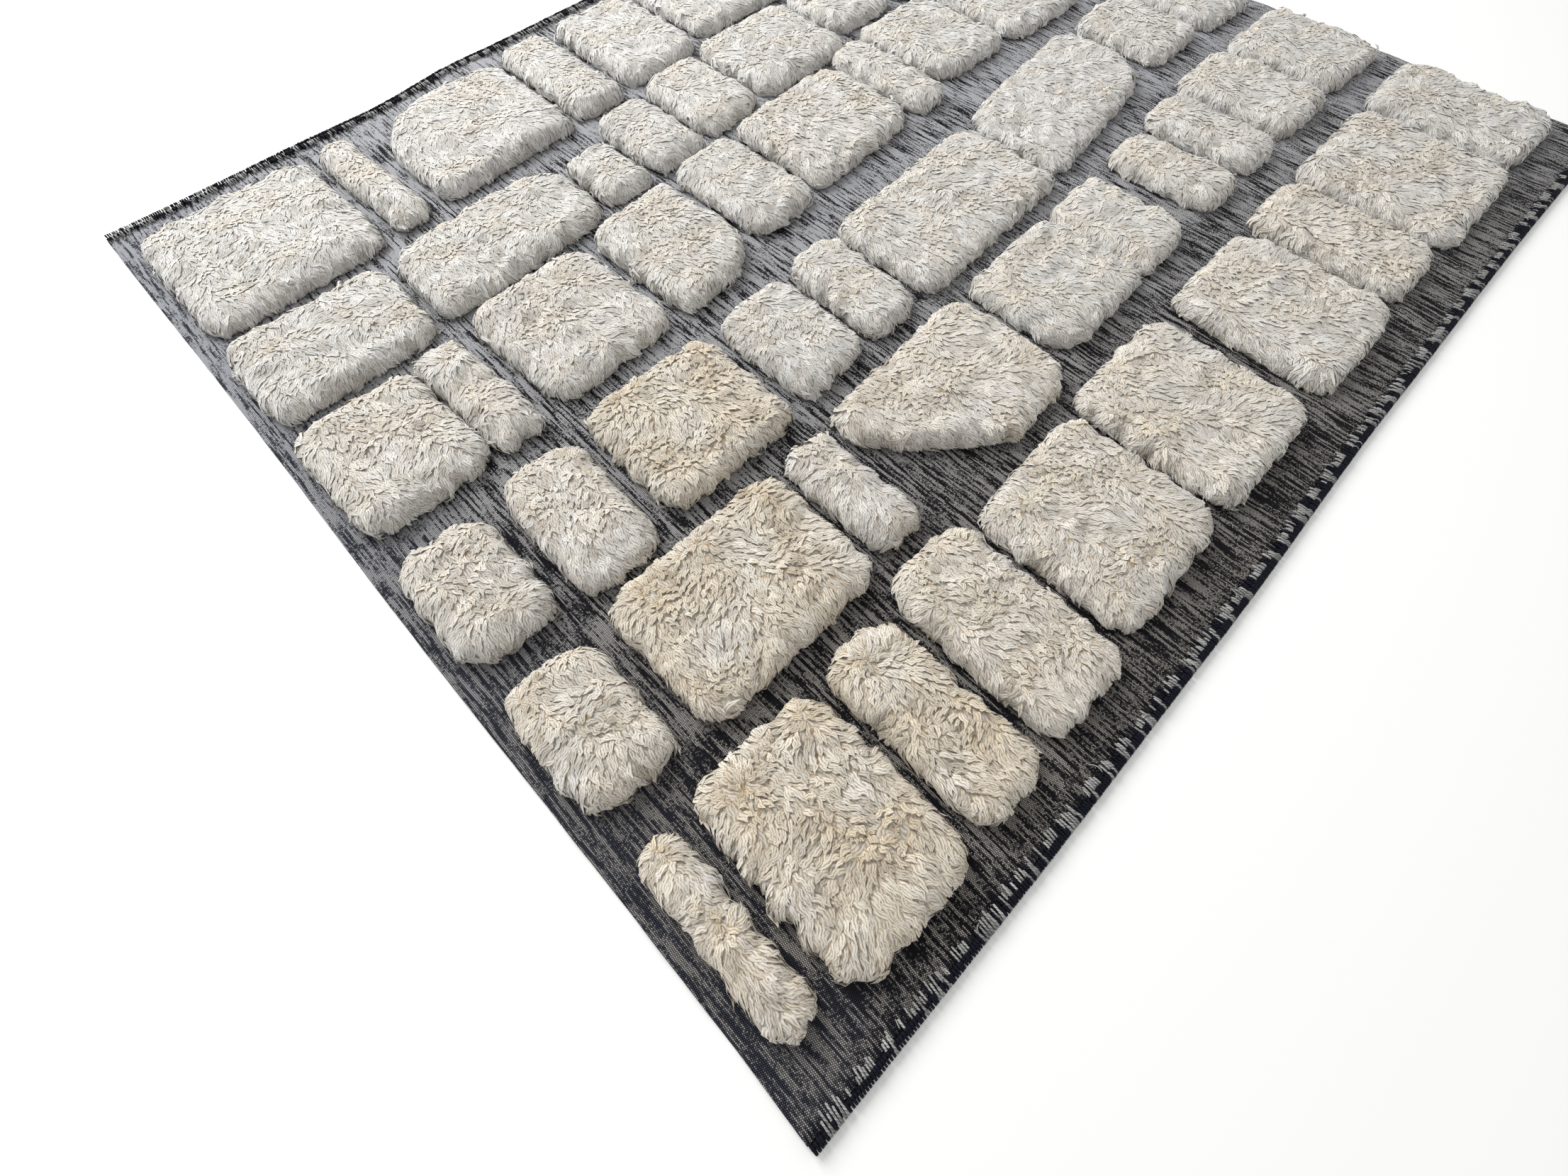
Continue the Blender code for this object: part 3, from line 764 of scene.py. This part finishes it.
def stitches(outer_y, inward, draw):
    """The bars and the wound turns of one edge, whose outer side is at outer_y(x)."""
    count = int((rug_high.x - rug_low.x - STITCH_STEP) / STITCH_STEP)
    x = rug_low.x + STITCH_STEP * (np.arange(count) + FIRST_STITCH) + draw.normal(0, STITCH_STRAY, count)
    slant = SLANT * draw.normal(0.5, 0.35, (count, 1))
    tones = bar_tones(draw, count)

    across = draw.uniform(*BAR_IN, (count, 1)) * BAR_ACROSS
    height = np.array(BAR_HEIGHTS) + draw.normal(0, UNEVEN, (count, 1))
    along = x[:, None] + slant * (across / BAR_IN[1])
    bars = np.stack([along, outer_y(along) + inward * across, height], axis=2)
    bar_widths = BAR_HALF * np.array([0, 1.0, 1.0, 1.0, 0]) * draw.uniform(0.80, 1.10, (count, 1))

    across = np.tile(OVER_ACROSS, (count, 1))
    along = x[:, None] + slant * (across / BAR_IN[1])
    height = OVER_HEIGHT + draw.normal(0, UNEVEN, (count, 1)) * (OVER_HEIGHT > rug_high.z)
    turns = np.stack([along, outer_y(along) + inward * across, height], axis=2)
    turn_widths = TURN_HALF * np.array([0, 0.8, 1, 1, 1, 0.9, 0]) * draw.uniform(0.85, 1.10, (count, 1))
    pale_here = draw.random(count) < PALE_TURNS * (1 + np.sin(x * PALE_RUNS) * 0.9)
    turn_tones = tones * np.column_stack([pale_here * draw.uniform(0.5, 0.9, count), np.full(count, 0.85)])

    facing = np.array([0.0, -0.5 * inward, 1.0])
    return together(
        spin(bars, bar_widths, YARN_RING, facing, tones),
        spin(turns, turn_widths, YARN_RING, facing, turn_tones),
    )


def stray_ends(outer_y, inward, draw):
    """A few loose ends that the weaver left in the stitches."""
    count = STRAY_ENDS
    x = draw.uniform(rug_low.x + STRAY_CLEAR, rug_high.x - STRAY_CLEAR, count)
    heading = draw.uniform(-1.2, 1.2, count)
    steps = np.linspace(0, 1, 8)
    length = draw.uniform(*STRAY_LONG, (count, 1))
    bend = heading[:, None] + steps * draw.normal(0, 2.0, (count, 1))
    along = x[:, None] + np.cumsum(np.sin(bend), axis=1) / len(steps) * length
    across = STRAY_IN + np.cumsum(np.cos(bend), axis=1) / len(steps) * length
    loop = STRAY_LOOP * np.sin(math.pi * steps) * draw.uniform(0.3, 1.0, (count, 1))
    height = STRAY_HIGH - STRAY_FALL * steps + loop
    paths = np.stack([along, outer_y(along) + inward * across, height], axis=2)
    widths = STRAY_HALF * np.array([0.0, 1, 1, 1, 1, 1, 0.9, 0.0]) * np.ones((count, 1))
    tones = np.column_stack([np.full(count, 0.95), draw.uniform(0.8, 1.0, count)])
    return spin(paths, widths, YARN_RING, np.array([0.0, 0.0, 1.0]), tones)


def core_of(node):
    """The bead below the stitches: the solid, drawn in a little."""
    points, triangles = solid_of(node)
    middle = (points.min(axis=0) + points.max(axis=0)) / 2
    normals = point_normals(points, triangles)
    points = points - normals * CORE_SHRINK * (points[:, 2:] > CORE_FOOT)
    points[:, 0] = middle[0] + (points[:, 0] - middle[0]) * CORE_SHORTEN
    return under_wool(points, triangles, CORE_UP, CORE_SHADED_TONE)


def outer_line(node, side):
    """The outer side of a selvedge at its widest places, as a function of x."""
    points, _ = solid_of(node)
    stations = np.unique(points[:, 0].round(4))
    outer = np.array([(side * points[abs(points[:, 0] - x) < 1e-3, 1]).max() for x in stations])
    wide = np.arange(len(stations)) % 2 == 1
    return lambda x: side * np.interp(x, stations[wide], outer[wide])


for name, side, seed in (("selvedge_near", -1, 31), ("selvedge_far", 1, 32)):
    draw = np.random.default_rng(seed)
    line = outer_line(name, side)
    wound = together(stitches(line, -side, draw), stray_ends(line, -side, draw), core_of(name))
    make_piece("overcast_" + name.split("_")[1], wound, OVERCAST_YARN, name)
    print(name, "has", len(wound.triangles), "triangles")

# %% [markdown]
# ## Where the locks grow
# A block of pile is a thicket of knots. The solid is a lump as high as the wool's tips, so a
# slightly smaller and rounder copy of it, the mound, stands for the dense wool below them, and the
# locks grow on that. Low tufts keep it from looking like a cushion, and where two knotted areas meet
# in one block, a valley is pressed across it. Roots are scattered by throwing many darts at the
# mound and keeping one in each small cube, which is quick and never leaves a row or a bald spot.

# %% Make the mound and scatter roots
MOUND_LOW = 0.86  # the mound's height as a share of the block's
MOUND_IN = 0.001  # how far inside the block's rim the mound stays
ROUNDNESS = 0.8  # how far a new point moves out to the round surface
TUFT_RISE = 0.0020
TUFTS_OVER = 0.004  # the height over the mound's foot where they start
ROOTS_OVER = 0.002  # and where the locks do
FACES_DOWN = -0.2  # how far a face of the mound may look down and still grow locks
ROOT_STEP = 0.0085  # the size of the cube that holds one root
DARTS = 7  # thrown for each cube
CREASES = {"pile_2_5": 0.128}  # a block of two areas that meet, and the x of the valley between them
CREASE_HALF, CREASE_IN, CREASE_DEEP = 0.012, 0.020, 0.022


def mound_of(points):
    low, high = points.min(axis=0), points.max(axis=0)
    middle = (low + high) / 2
    shrink = np.append(1 - 2 * MOUND_IN / (high - low)[:2], MOUND_LOW)
    middle[2] = low[2]
    return middle + (points - middle) * shrink


def rounded(points, triangles):
    """Splits every triangle in four, with the new points moved out to make the surface round."""
    normals = point_normals(points, triangles)
    sides = np.sort(np.concatenate([triangles[:, pair] for pair in ([0, 1], [1, 2], [2, 0])]), axis=1)
    pairs, which = np.unique(sides, axis=0, return_inverse=True)
    middle = points[pairs].mean(axis=1)
    first, second = (
        normals[end] * ((middle - points[end]) * normals[end]).sum(axis=1, keepdims=True)
        for end in pairs.T
    )
    pushed = middle - ROUNDNESS * (first + second) / 2
    pushed[:, 2] = np.maximum(pushed[:, 2], points[:, 2].min())
    ab, bc, ca = len(points) + which.reshape(3, -1)
    a, b, c = triangles.T
    split = [np.stack(corners, axis=1) for corners in ((a, ab, ca), (ab, b, bc), (ca, bc, c), (ab, bc, ca))]
    return np.concatenate([points, pushed]), np.concatenate(split)


def tufted(points, triangles):
    """Raises and lowers the mound in low tufts, as uneven wool does."""
    normals = point_normals(points, triangles)
    rise = TUFT_RISE * tufts.at(points)[:, None] * (points[:, 2:] > points[:, 2].min() + TUFTS_OVER)
    return points + normals * rise


def creased(points, at):
    """Presses a valley across the mound where x is that, as between two areas knotted close together."""
    near = np.exp(-((points[:, 0] - at) / CREASE_HALF)**2)
    low, high = points.min(axis=0), points.max(axis=0)
    off = (points - (low + high) / 2) / (high - low) * 2
    rise = (points[:, 2] - low[2]) / (high[2] - low[2])
    sunk = np.column_stack([0 * near, -CREASE_IN * off[:, 1], -CREASE_DEEP * rise])
    return points + near[:, None] * sunk


def scatter_roots(mound, triangles, draw):
    """Places on the mound's upper side, and its smooth normals there."""
    crosses = triangle_crosses(mound, triangles)
    areas = np.linalg.norm(crosses, axis=1) / 2
    areas *= crosses[:, 2] > FACES_DOWN * areas
    areas *= mound[triangles][..., 2].max(axis=1) > mound[:, 2].min() + ROOTS_OVER
    count = int(DARTS * areas.sum() / ROOT_STEP**2)
    chosen = draw.choice(len(areas), count, p=areas / areas.sum())
    a, b = draw.random((2, count))
    outside = a + b > 1
    a[outside], b[outside] = 1 - a[outside], 1 - b[outside]
    weights = np.stack([1 - a - b, a, b], axis=1)[..., None]
    roots = (mound[triangles[chosen]] * weights).sum(axis=1)
    normals = unit((point_normals(mound, triangles)[triangles[chosen]] * weights).sum(axis=1))
    turn = Matrix.Rotation(draw.uniform(0, math.pi / 2), 3, "Z")
    cubes = np.floor(roots @ np.array(turn) / ROOT_STEP).astype(int)
    _, kept = np.unique(cubes, axis=0, return_index=True)
    return roots[kept], normals[kept]


print(f"one root in each cube of {ROOT_STEP * 1000:.1f} mm")

# %% [markdown]
# ## How the locks lie
# Locks at the side of a block fall outwards, those on top swirl, and where two ways meet they stand
# up and curl. So each lock gets a way to lie: the slope's own direction, plus a spread from one
# whorl in the block, plus a slow swirl, plus the way that the rug was brushed, which differs from
# left to right. Where that sum is strong the lock lies long and flat along it, and where it is weak
# the lock is short, raised and curled.

# %% Decide which way the wool lies
class Coat(NamedTuple):
    """What is particular to one block: how warm its wool is, and its whorl as shares of its half
    width and half depth from its middle."""

    warmth: float
    whorl: tuple


COATS = {
    "pile_1_2": Coat(0.56, (-0.1, 0.5)),
    "pile_1_3": Coat(0.60, (0.0, 0.3)),
    "pile_2_2": Coat(0.50, (-0.1, 0.4)),
    "pile_3_3": Coat(0.48, (0.0, 0.2)),
    "pile_6_3": Coat(0.0, (0.0, 0.2)),
}
WARM_CORNER = 0.68  # how warm the wool is in the near left corner
WARM_FALL = np.array([0.8, 1.2])  # and how fast that falls away from it, along X and along Y
SPREAD, DOWNHILL, SWIRL = 0.20, 1.3, 0.24
# How the rug was brushed at its left and at its right, and the x where the one starts to turn into
# the other and where it has
COMBED_LEFT, COMBED_RIGHT = np.array([-0.10, -0.36]), np.array([0.19, -0.33])
COMBED_FROM, COMBED_TO = -1.0, 0.0
WHORL_ROUND = 0.10  # the whorl's spread is weaker than half its full strength this near to it
FIRM = 0.85  # a flow as strong as this lays a lock quite flat


def coat_of(name, draw):
    """A block's own coat, or a plain one: the wool is warmer near the rug's near left corner."""
    middle = (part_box(name)[0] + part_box(name)[1]) / 2
    away = WARM_FALL @ (middle.x - rug_low.x, middle.y - rug_low.y)
    warmth = WARM_CORNER * math.exp(-away) + draw.normal(0, 0.04)
    return COATS.get(name, Coat(warmth, (draw.uniform(-0.4, 0.4), draw.uniform(0.0, 0.5))))


def flow_at(places, normals, coat, box):
    """The way that the wool lies, along the surface, and how firmly, from 0 to 1."""
    low, high = box
    whorl = (low + high)[:2] / 2 + np.array(coat.whorl) * (high - low)[:2] / 2
    away = places[:, :2] - whorl
    spread = away / (np.linalg.norm(away, axis=1, keepdims=True) + WHORL_ROUND)
    swirl = np.stack([wander_x.at(places), wander_y.at(places)], axis=1)
    right = np.clip((places[:, :1] - COMBED_FROM) / (COMBED_TO - COMBED_FROM), 0, 1)
    combed = COMBED_LEFT + (COMBED_RIGHT - COMBED_LEFT) * right
    flow = SPREAD * spread + DOWNHILL * normals[:, :2] + SWIRL * swirl + combed
    firm = np.clip(np.linalg.norm(flow, axis=1) / FIRM, 0, 1)
    lie = np.column_stack([flow, np.zeros(len(flow))])
    return unit(lie - normals * (lie * normals).sum(axis=1, keepdims=True)), firm


print(len(COATS), "blocks have a coat of their own")

# %% [markdown]
# ## Draping each lock
# A lock isn't stiff: it lies on the wool below it, follows the mound over its shoulder and hangs
# at the rim. So each lock is walked over the mound in three steps. After each step Blender's own
# search tree finds the nearest place on the mound, and the lock passes a few millimetres over it.
# Small turns to one side and the other make it wavy, and soft wool lies lower than coarse wool.
# Neighbours then cling to each other, as real wool does, by moving each tip part of the way to the
# middle of its clump.

# %% Walk the locks over the mound
LOCK_STATIONS = np.array([0.0, 0.30, 0.68, 1.0])
LOCK_SWELL = np.array([0.0, 1.0, 0.9, 0.0])
LOCK_LIFT = np.array([0.0012, 0.0016, 0.0009])  # over the mound, after each step
TUFT_LIFT = np.array([0.0, 0.0030, 0.0045])  # and how much higher the tips in the highest tufts stand
LOCK_LONG, LOCK_HALF = 0.032, 0.0037
ROOT_SUNK = 0.0015  # how far below the mound a lock starts
RIM_LONGER = 0.40  # how much longer the locks at an upright side are
LOCK_BEHIND = 0.35  # of a lock's length that lies behind its scattered place
CURLED_SHORT, CURLED_LIFT = 0.48, 2.2  # a standing lock's reach and height against a lying one's
WAVE, CURLED_WAVE = 0.24, 1.8  # radians that a lock turns to one side and back, and more if it stands
SOFT_LOWER = 0.8  # how much lower the locks of the softest wool lie
CLUMP, CLUMP_BEND = 0.017, 0.004  # the size of a clump, and how far its bounds bend
CLING = (0.05, 0.45)  # how far a lock's tip moves to its clump's middle, least and most
CLING_LATE = 1.3  # how late along a lock the pull grows: 1 would be evenly from root to tip
CLUMP_TURN, LOCK_TURN = 0.15, 0.07  # radians that a clump, and a lock in it, strays from the flow
CURLED_TURN = 1.6  # radians more that a standing lock strays
LOOSE = np.array([0.0, 0.30, 0.55])  # how far a lock strays off a round shoulder, at each step
RIM_LOOSE = np.array([0.0, 0.25, 0.45])  # and how much further at an upright side
FLOOR_CLEAR = 0.0052  # the lowest that a lock hangs, just over the cloth's usual height
SPLAY = 0.8  # how far a lock that meets the ground runs out over it, for each metre it would sink


def walk_locks(mound, triangles, roots, normals, lie, firm, clump, softness, draw):
    """The path of every lock, as (count, stations, 3), and the mound's normals under it."""
    count = len(roots)
    tree = BVHTree.FromPolygons(mound.tolist(), triangles.tolist())
    length = LOCK_LONG * (CURLED_SHORT + (1 - CURLED_SHORT) * firm) * draw.uniform(0.75, 1.2, count)
    length *= 1 + RIM_LONGER * (1 - normals[:, 2])
    lift = LOCK_LIFT * (CURLED_LIFT + (1 - CURLED_LIFT) * firm)[:, None] * draw.uniform(0.7, 1.3, (count, 1))
    lift = (lift + TUFT_LIFT * draw.random((clump.max() + 1, 1))[clump]**2) * (1 - SOFT_LOWER * softness)
    loose = LOOSE + RIM_LOOSE * ((1 - normals[:, 2]) * draw.uniform(0, 1.6, count))[:, None]
    first_turn = draw.normal(0, CLUMP_TURN, clump.max() + 1)[clump]
    first_turn += draw.normal(0, 1, count) * (LOCK_TURN + CURLED_TURN * (1 - firm)**2)
    side = draw.choice((-1, 1), clump.max() + 1)[clump]
    wave = WAVE * (CURLED_WAVE + (1 - CURLED_WAVE) * firm) * side * draw.uniform(0.4, 1.3, count)
    turns = np.stack([first_turn + wave, -2 * wave, 2 * wave], axis=1)
    reaches = np.diff(LOCK_STATIONS) * length[:, None]
    paths = np.empty((count, len(LOCK_STATIONS), 3))
    facing = np.empty((count, len(LOCK_STATIONS), 3))
    facing[:, 0] = normals
    behind = roots - lie * (LOCK_BEHIND * length)[:, None]
    for i in range(count):
        way = Vector(lie[i])
        place, normal, _, _ = tree.find_nearest(behind[i])
        paths[i, 0] = place - normal * ROOT_SUNK
        for step in range(3):
            way = Quaternion(normal, turns[i, step]) @ way
            ahead = place + way * reaches[i, step]
            place, normal, _, _ = tree.find_nearest(ahead)
            paths[i, step + 1] = place.lerp(ahead, loose[i, step]) + normal * lift[i, step]
            facing[i, step + 1] = normal
            way = (way - normal * way.dot(normal)).normalized()
    return paths, facing


def splay(paths, lie):
    """Lets the locks that reach the ground run out over it."""
    sunk = np.maximum(FLOOR_CLEAR - paths[..., 2], 0)
    outward = unit(lie * (1, 1, 0))
    paths = paths + outward[:, None, :] * (SPLAY * sunk)[..., None]
    paths[..., 2] += sunk
    return paths


def clump_of(roots, draw):
    """The number of each root's clump: the cell of a turned and bent grid that it falls in."""
    turn = draw.uniform(0, math.pi / 2)
    grid = np.array([[math.cos(turn), -math.sin(turn)], [math.sin(turn), math.cos(turn)]])
    bent = roots[:, :2] @ grid + CLUMP_BEND * np.stack([wander_y.at(roots), wander_x.at(roots)], axis=1)
    return np.unique(np.floor(bent / CLUMP), axis=0, return_inverse=True)[1].ravel()


def cling(paths, clump, draw):
    """Pulls the tips of neighbouring locks together."""
    sizes = np.bincount(clump)
    middles = np.zeros((len(sizes), *paths.shape[1:]))
    np.add.at(middles, clump, paths)
    middles /= sizes[:, None, None]
    pull = draw.uniform(*CLING, len(sizes))[clump]
    share = pull[:, None] * LOCK_STATIONS**CLING_LATE
    return paths + (middles[clump] - paths) * share[..., None]


print("a lock is about", LOCK_LONG * 1000, "mm long")

# %% [markdown]
# ## The coats
# Now every block gets its coat. The mound shows here and there between locks, so it is streaked
# the way that the wool lies too: each of its small faces has the map Lock laid across the flow.
# Standing locks are made warmer, and clumps differ in brightness more than
# the locks in one clump do. Two blocks at the left end meet, so both are widened a little first.

# %% Grow a coat on every block
MOUND_LOCK = np.array([0.009, 0.040])  # metres of the mound for the map Lock's u and v
MOUND_UP = 0.45  # its place between root and tip
# The mound is painted dimmer than the locks, as shade in the gaps between them
MOUND_SHADED_BRIGHTNESS = 0.5
MOUND_STRAY, MOUND_STREAKS = 0.3, 999  # how far its streaks stray from the flow, and their kinds
SOFT_COOL, SOFT_WARM = 0.80, 0.0  # how softly cool, fluffy wool and warm, coarser wool are shaded
# Two blocks that meet, and how far each reaches out along X
TOUCHING = {"pile_4_1": 0.006, "pile_4_2": -0.006}
PATCHY, STANDING_WARMER, WARMTH_VARIES = 0.2, 0.5, 0.05
# Locks on high tufts are painted brighter and those in the valleys between tufts darker: painted light and
# shade
BRIGHT, CLUMPS_VARY, LOCKS_VARY, TUFT_PAINTED_SHADE = 0.70, 0.22, 0.08, 0.13
LOCK_WIDTHS = (0.7, 1.25)  # of LOCK_HALF, least and most
UPWARD_VARIES = 0.05


def streaked(mound, triangles, coat, draw):
    """The map Lock for the mound, laid along the flow on each face."""
    corners = mound[triangles]
    facing = unit(triangle_crosses(mound, triangles))
    middles = corners.mean(axis=1)
    lie, _ = flow_at(middles, facing, coat, (mound.min(axis=0), mound.max(axis=0)))
    side = np.cross(facing, lie)
    stray = draw.normal(0, MOUND_STRAY, len(lie))[:, None]
    across, along = unit(side + lie * stray), unit(lie - side * stray)
    off = corners - middles[:, None, :]
    u = (off * across[:, None, :]).sum(axis=2) / MOUND_LOCK[0]
    u = u + draw.uniform(0, MOUND_STREAKS, (len(lie), 1))
    v = (off * along[:, None, :]).sum(axis=2) / MOUND_LOCK[1] + MOUND_UP
    return np.stack([u, v], axis=2)


def widened(points, reach):
    """Moves one side of a block along X by that reach, and what lies between by its share."""
    middle = (points[:, 0].min() + points[:, 0].max()) / 2
    share = np.clip((points[:, 0] - middle) / (np.ptp(points[:, 0]) / 2) * np.sign(reach), 0, 1)
    return points + share[:, None] * (reach, 0, 0)


def grow_pile(name, seed):
    """The coat of one block: its mound and its locks."""
    draw = np.random.default_rng(seed)
    coat = coat_of(name, draw)
    points, triangles = solid_of(name)
    if name in TOUCHING:
        points = widened(points, TOUCHING[name])
    mound, triangles = rounded(mound_of(points), triangles)
    mound = tufted(mound, triangles)
    if name in CREASES:
        mound, triangles = rounded(mound, triangles)
        mound = creased(mound, CREASES[name])
    roots, normals = scatter_roots(mound, triangles, draw)
    lie, firm = flow_at(roots, normals, coat, (mound.min(axis=0), mound.max(axis=0)))
    clump = clump_of(roots, draw)
    softness = SOFT_COOL + (SOFT_WARM - SOFT_COOL) * min(coat.warmth / WARM_CORNER, 1.0)
    paths, facing = walk_locks(mound, triangles, roots, normals, lie, firm, clump, softness, draw)
    paths = splay(cling(paths, clump, draw), lie)
    count = len(roots)
    warmth = coat.warmth * (1 + PATCHY * warm_patches.at(roots)) + STANDING_WARMER * (1 - firm)**2
    warmth += draw.normal(0, WARMTH_VARIES, count)
    brightness = BRIGHT + draw.normal(0, CLUMPS_VARY, clump.max() + 1)[clump]
    # Painted light on high tufts and painted shade in the valleys between them
    brightness += draw.normal(0, LOCKS_VARY, count) + TUFT_PAINTED_SHADE * tufts.at(roots)
    tones = np.clip(np.column_stack([warmth, brightness]), 0, 1)
    widths = LOCK_HALF * LOCK_SWELL * draw.uniform(*LOCK_WIDTHS, (count, 1))
    upward = facing[:, 1:-1] + draw.normal(0, UPWARD_VARIES, (count, 1, 3))
    locks = spin(paths, widths, LOCK_RING, upward, tones, softness)
    base = under_wool(mound, triangles, MOUND_UP, (coat.warmth, MOUND_SHADED_BRIGHTNESS))
    base.maps["Lock"] = streaked(mound, triangles, coat, draw).reshape(-1, 2)
    wool = together(locks, base)
    make_piece(name.replace("pile", "coat"), wool, PILE_WOOL, name)
    return count, len(wool.triangles), float(np.percentile(paths[..., 2], 99))


lock_count = triangle_count = 0
for seed, name in enumerate(pile_names, start=100):
    locks, faces, height = grow_pile(name, seed)
    lock_count += locks
    triangle_count += faces
print(lock_count, "locks,", triangle_count, "triangles")

# %% [markdown]
# ## Floor and light
# The rug lies on a plain pale floor. In the photograph soft daylight comes from beyond the rug's
# far long edge, so one large lamp hangs there and a pale sky fills the shadows.

# %% Lay the floor and light it
FLOOR_SIZE = 9.0
FLOOR_DROP = 0.0003
FLOOR_COLOUR, FLOOR_ROUGH = (0.90, 0.90, 0.89, 1.0), 0.9
LAMP_PLACE = Vector((-0.6, 3.9, 3.1))
LAMP_SIZE, LAMP_POWER = 2.9, 320.0
SKY = 0.67


def lay_floor():
    half = FLOOR_SIZE / 2
    mesh = bpy.data.meshes.new("floor")
    corners = ((-half, -half), (half, -half), (half, half), (-half, half))
    mesh.from_pydata([(x, y, -FLOOR_DROP) for x, y in corners], [], [(0, 1, 2, 3)])
    finish = Finish("pale_floor", Specular_IOR_Level=0.1)
    finish.join(finish.shader.inputs["Base Color"], FLOOR_COLOUR)
    finish.join(finish.shader.inputs["Roughness"], FLOOR_ROUGH)
    mesh.materials.append(finish.material)
    floor = bpy.data.objects.new("floor", mesh)
    bpy.context.scene.collection.objects.link(floor)


def hang_lamp():
    lamp_data = bpy.data.lights.new("window", "AREA")
    lamp_data.shape = "SQUARE"
    lamp_data.size = LAMP_SIZE
    lamp_data.energy = LAMP_POWER
    lamp = bpy.data.objects.new("window", lamp_data)
    lamp.location = LAMP_PLACE
    lamp.rotation_euler = (Vector((0.0, 0.0, 0.0)) - LAMP_PLACE).to_track_quat("-Z", "Y").to_euler()
    bpy.context.scene.collection.objects.link(lamp)


def fill_sky():
    world = bpy.data.worlds.new("sky")
    bpy.context.scene.world = world
    world.use_nodes = True
    sky = world.node_tree.nodes["Background"]
    sky.inputs["Color"].default_value = (1.0, 1.0, 1.0, 1.0)
    sky.inputs["Strength"].default_value = SKY


lay_floor()
hang_lamp()
fill_sky()
bpy.context.scene.view_settings.view_transform = "Standard"
print("lamp of", LAMP_POWER, "W and a sky of", SKY)
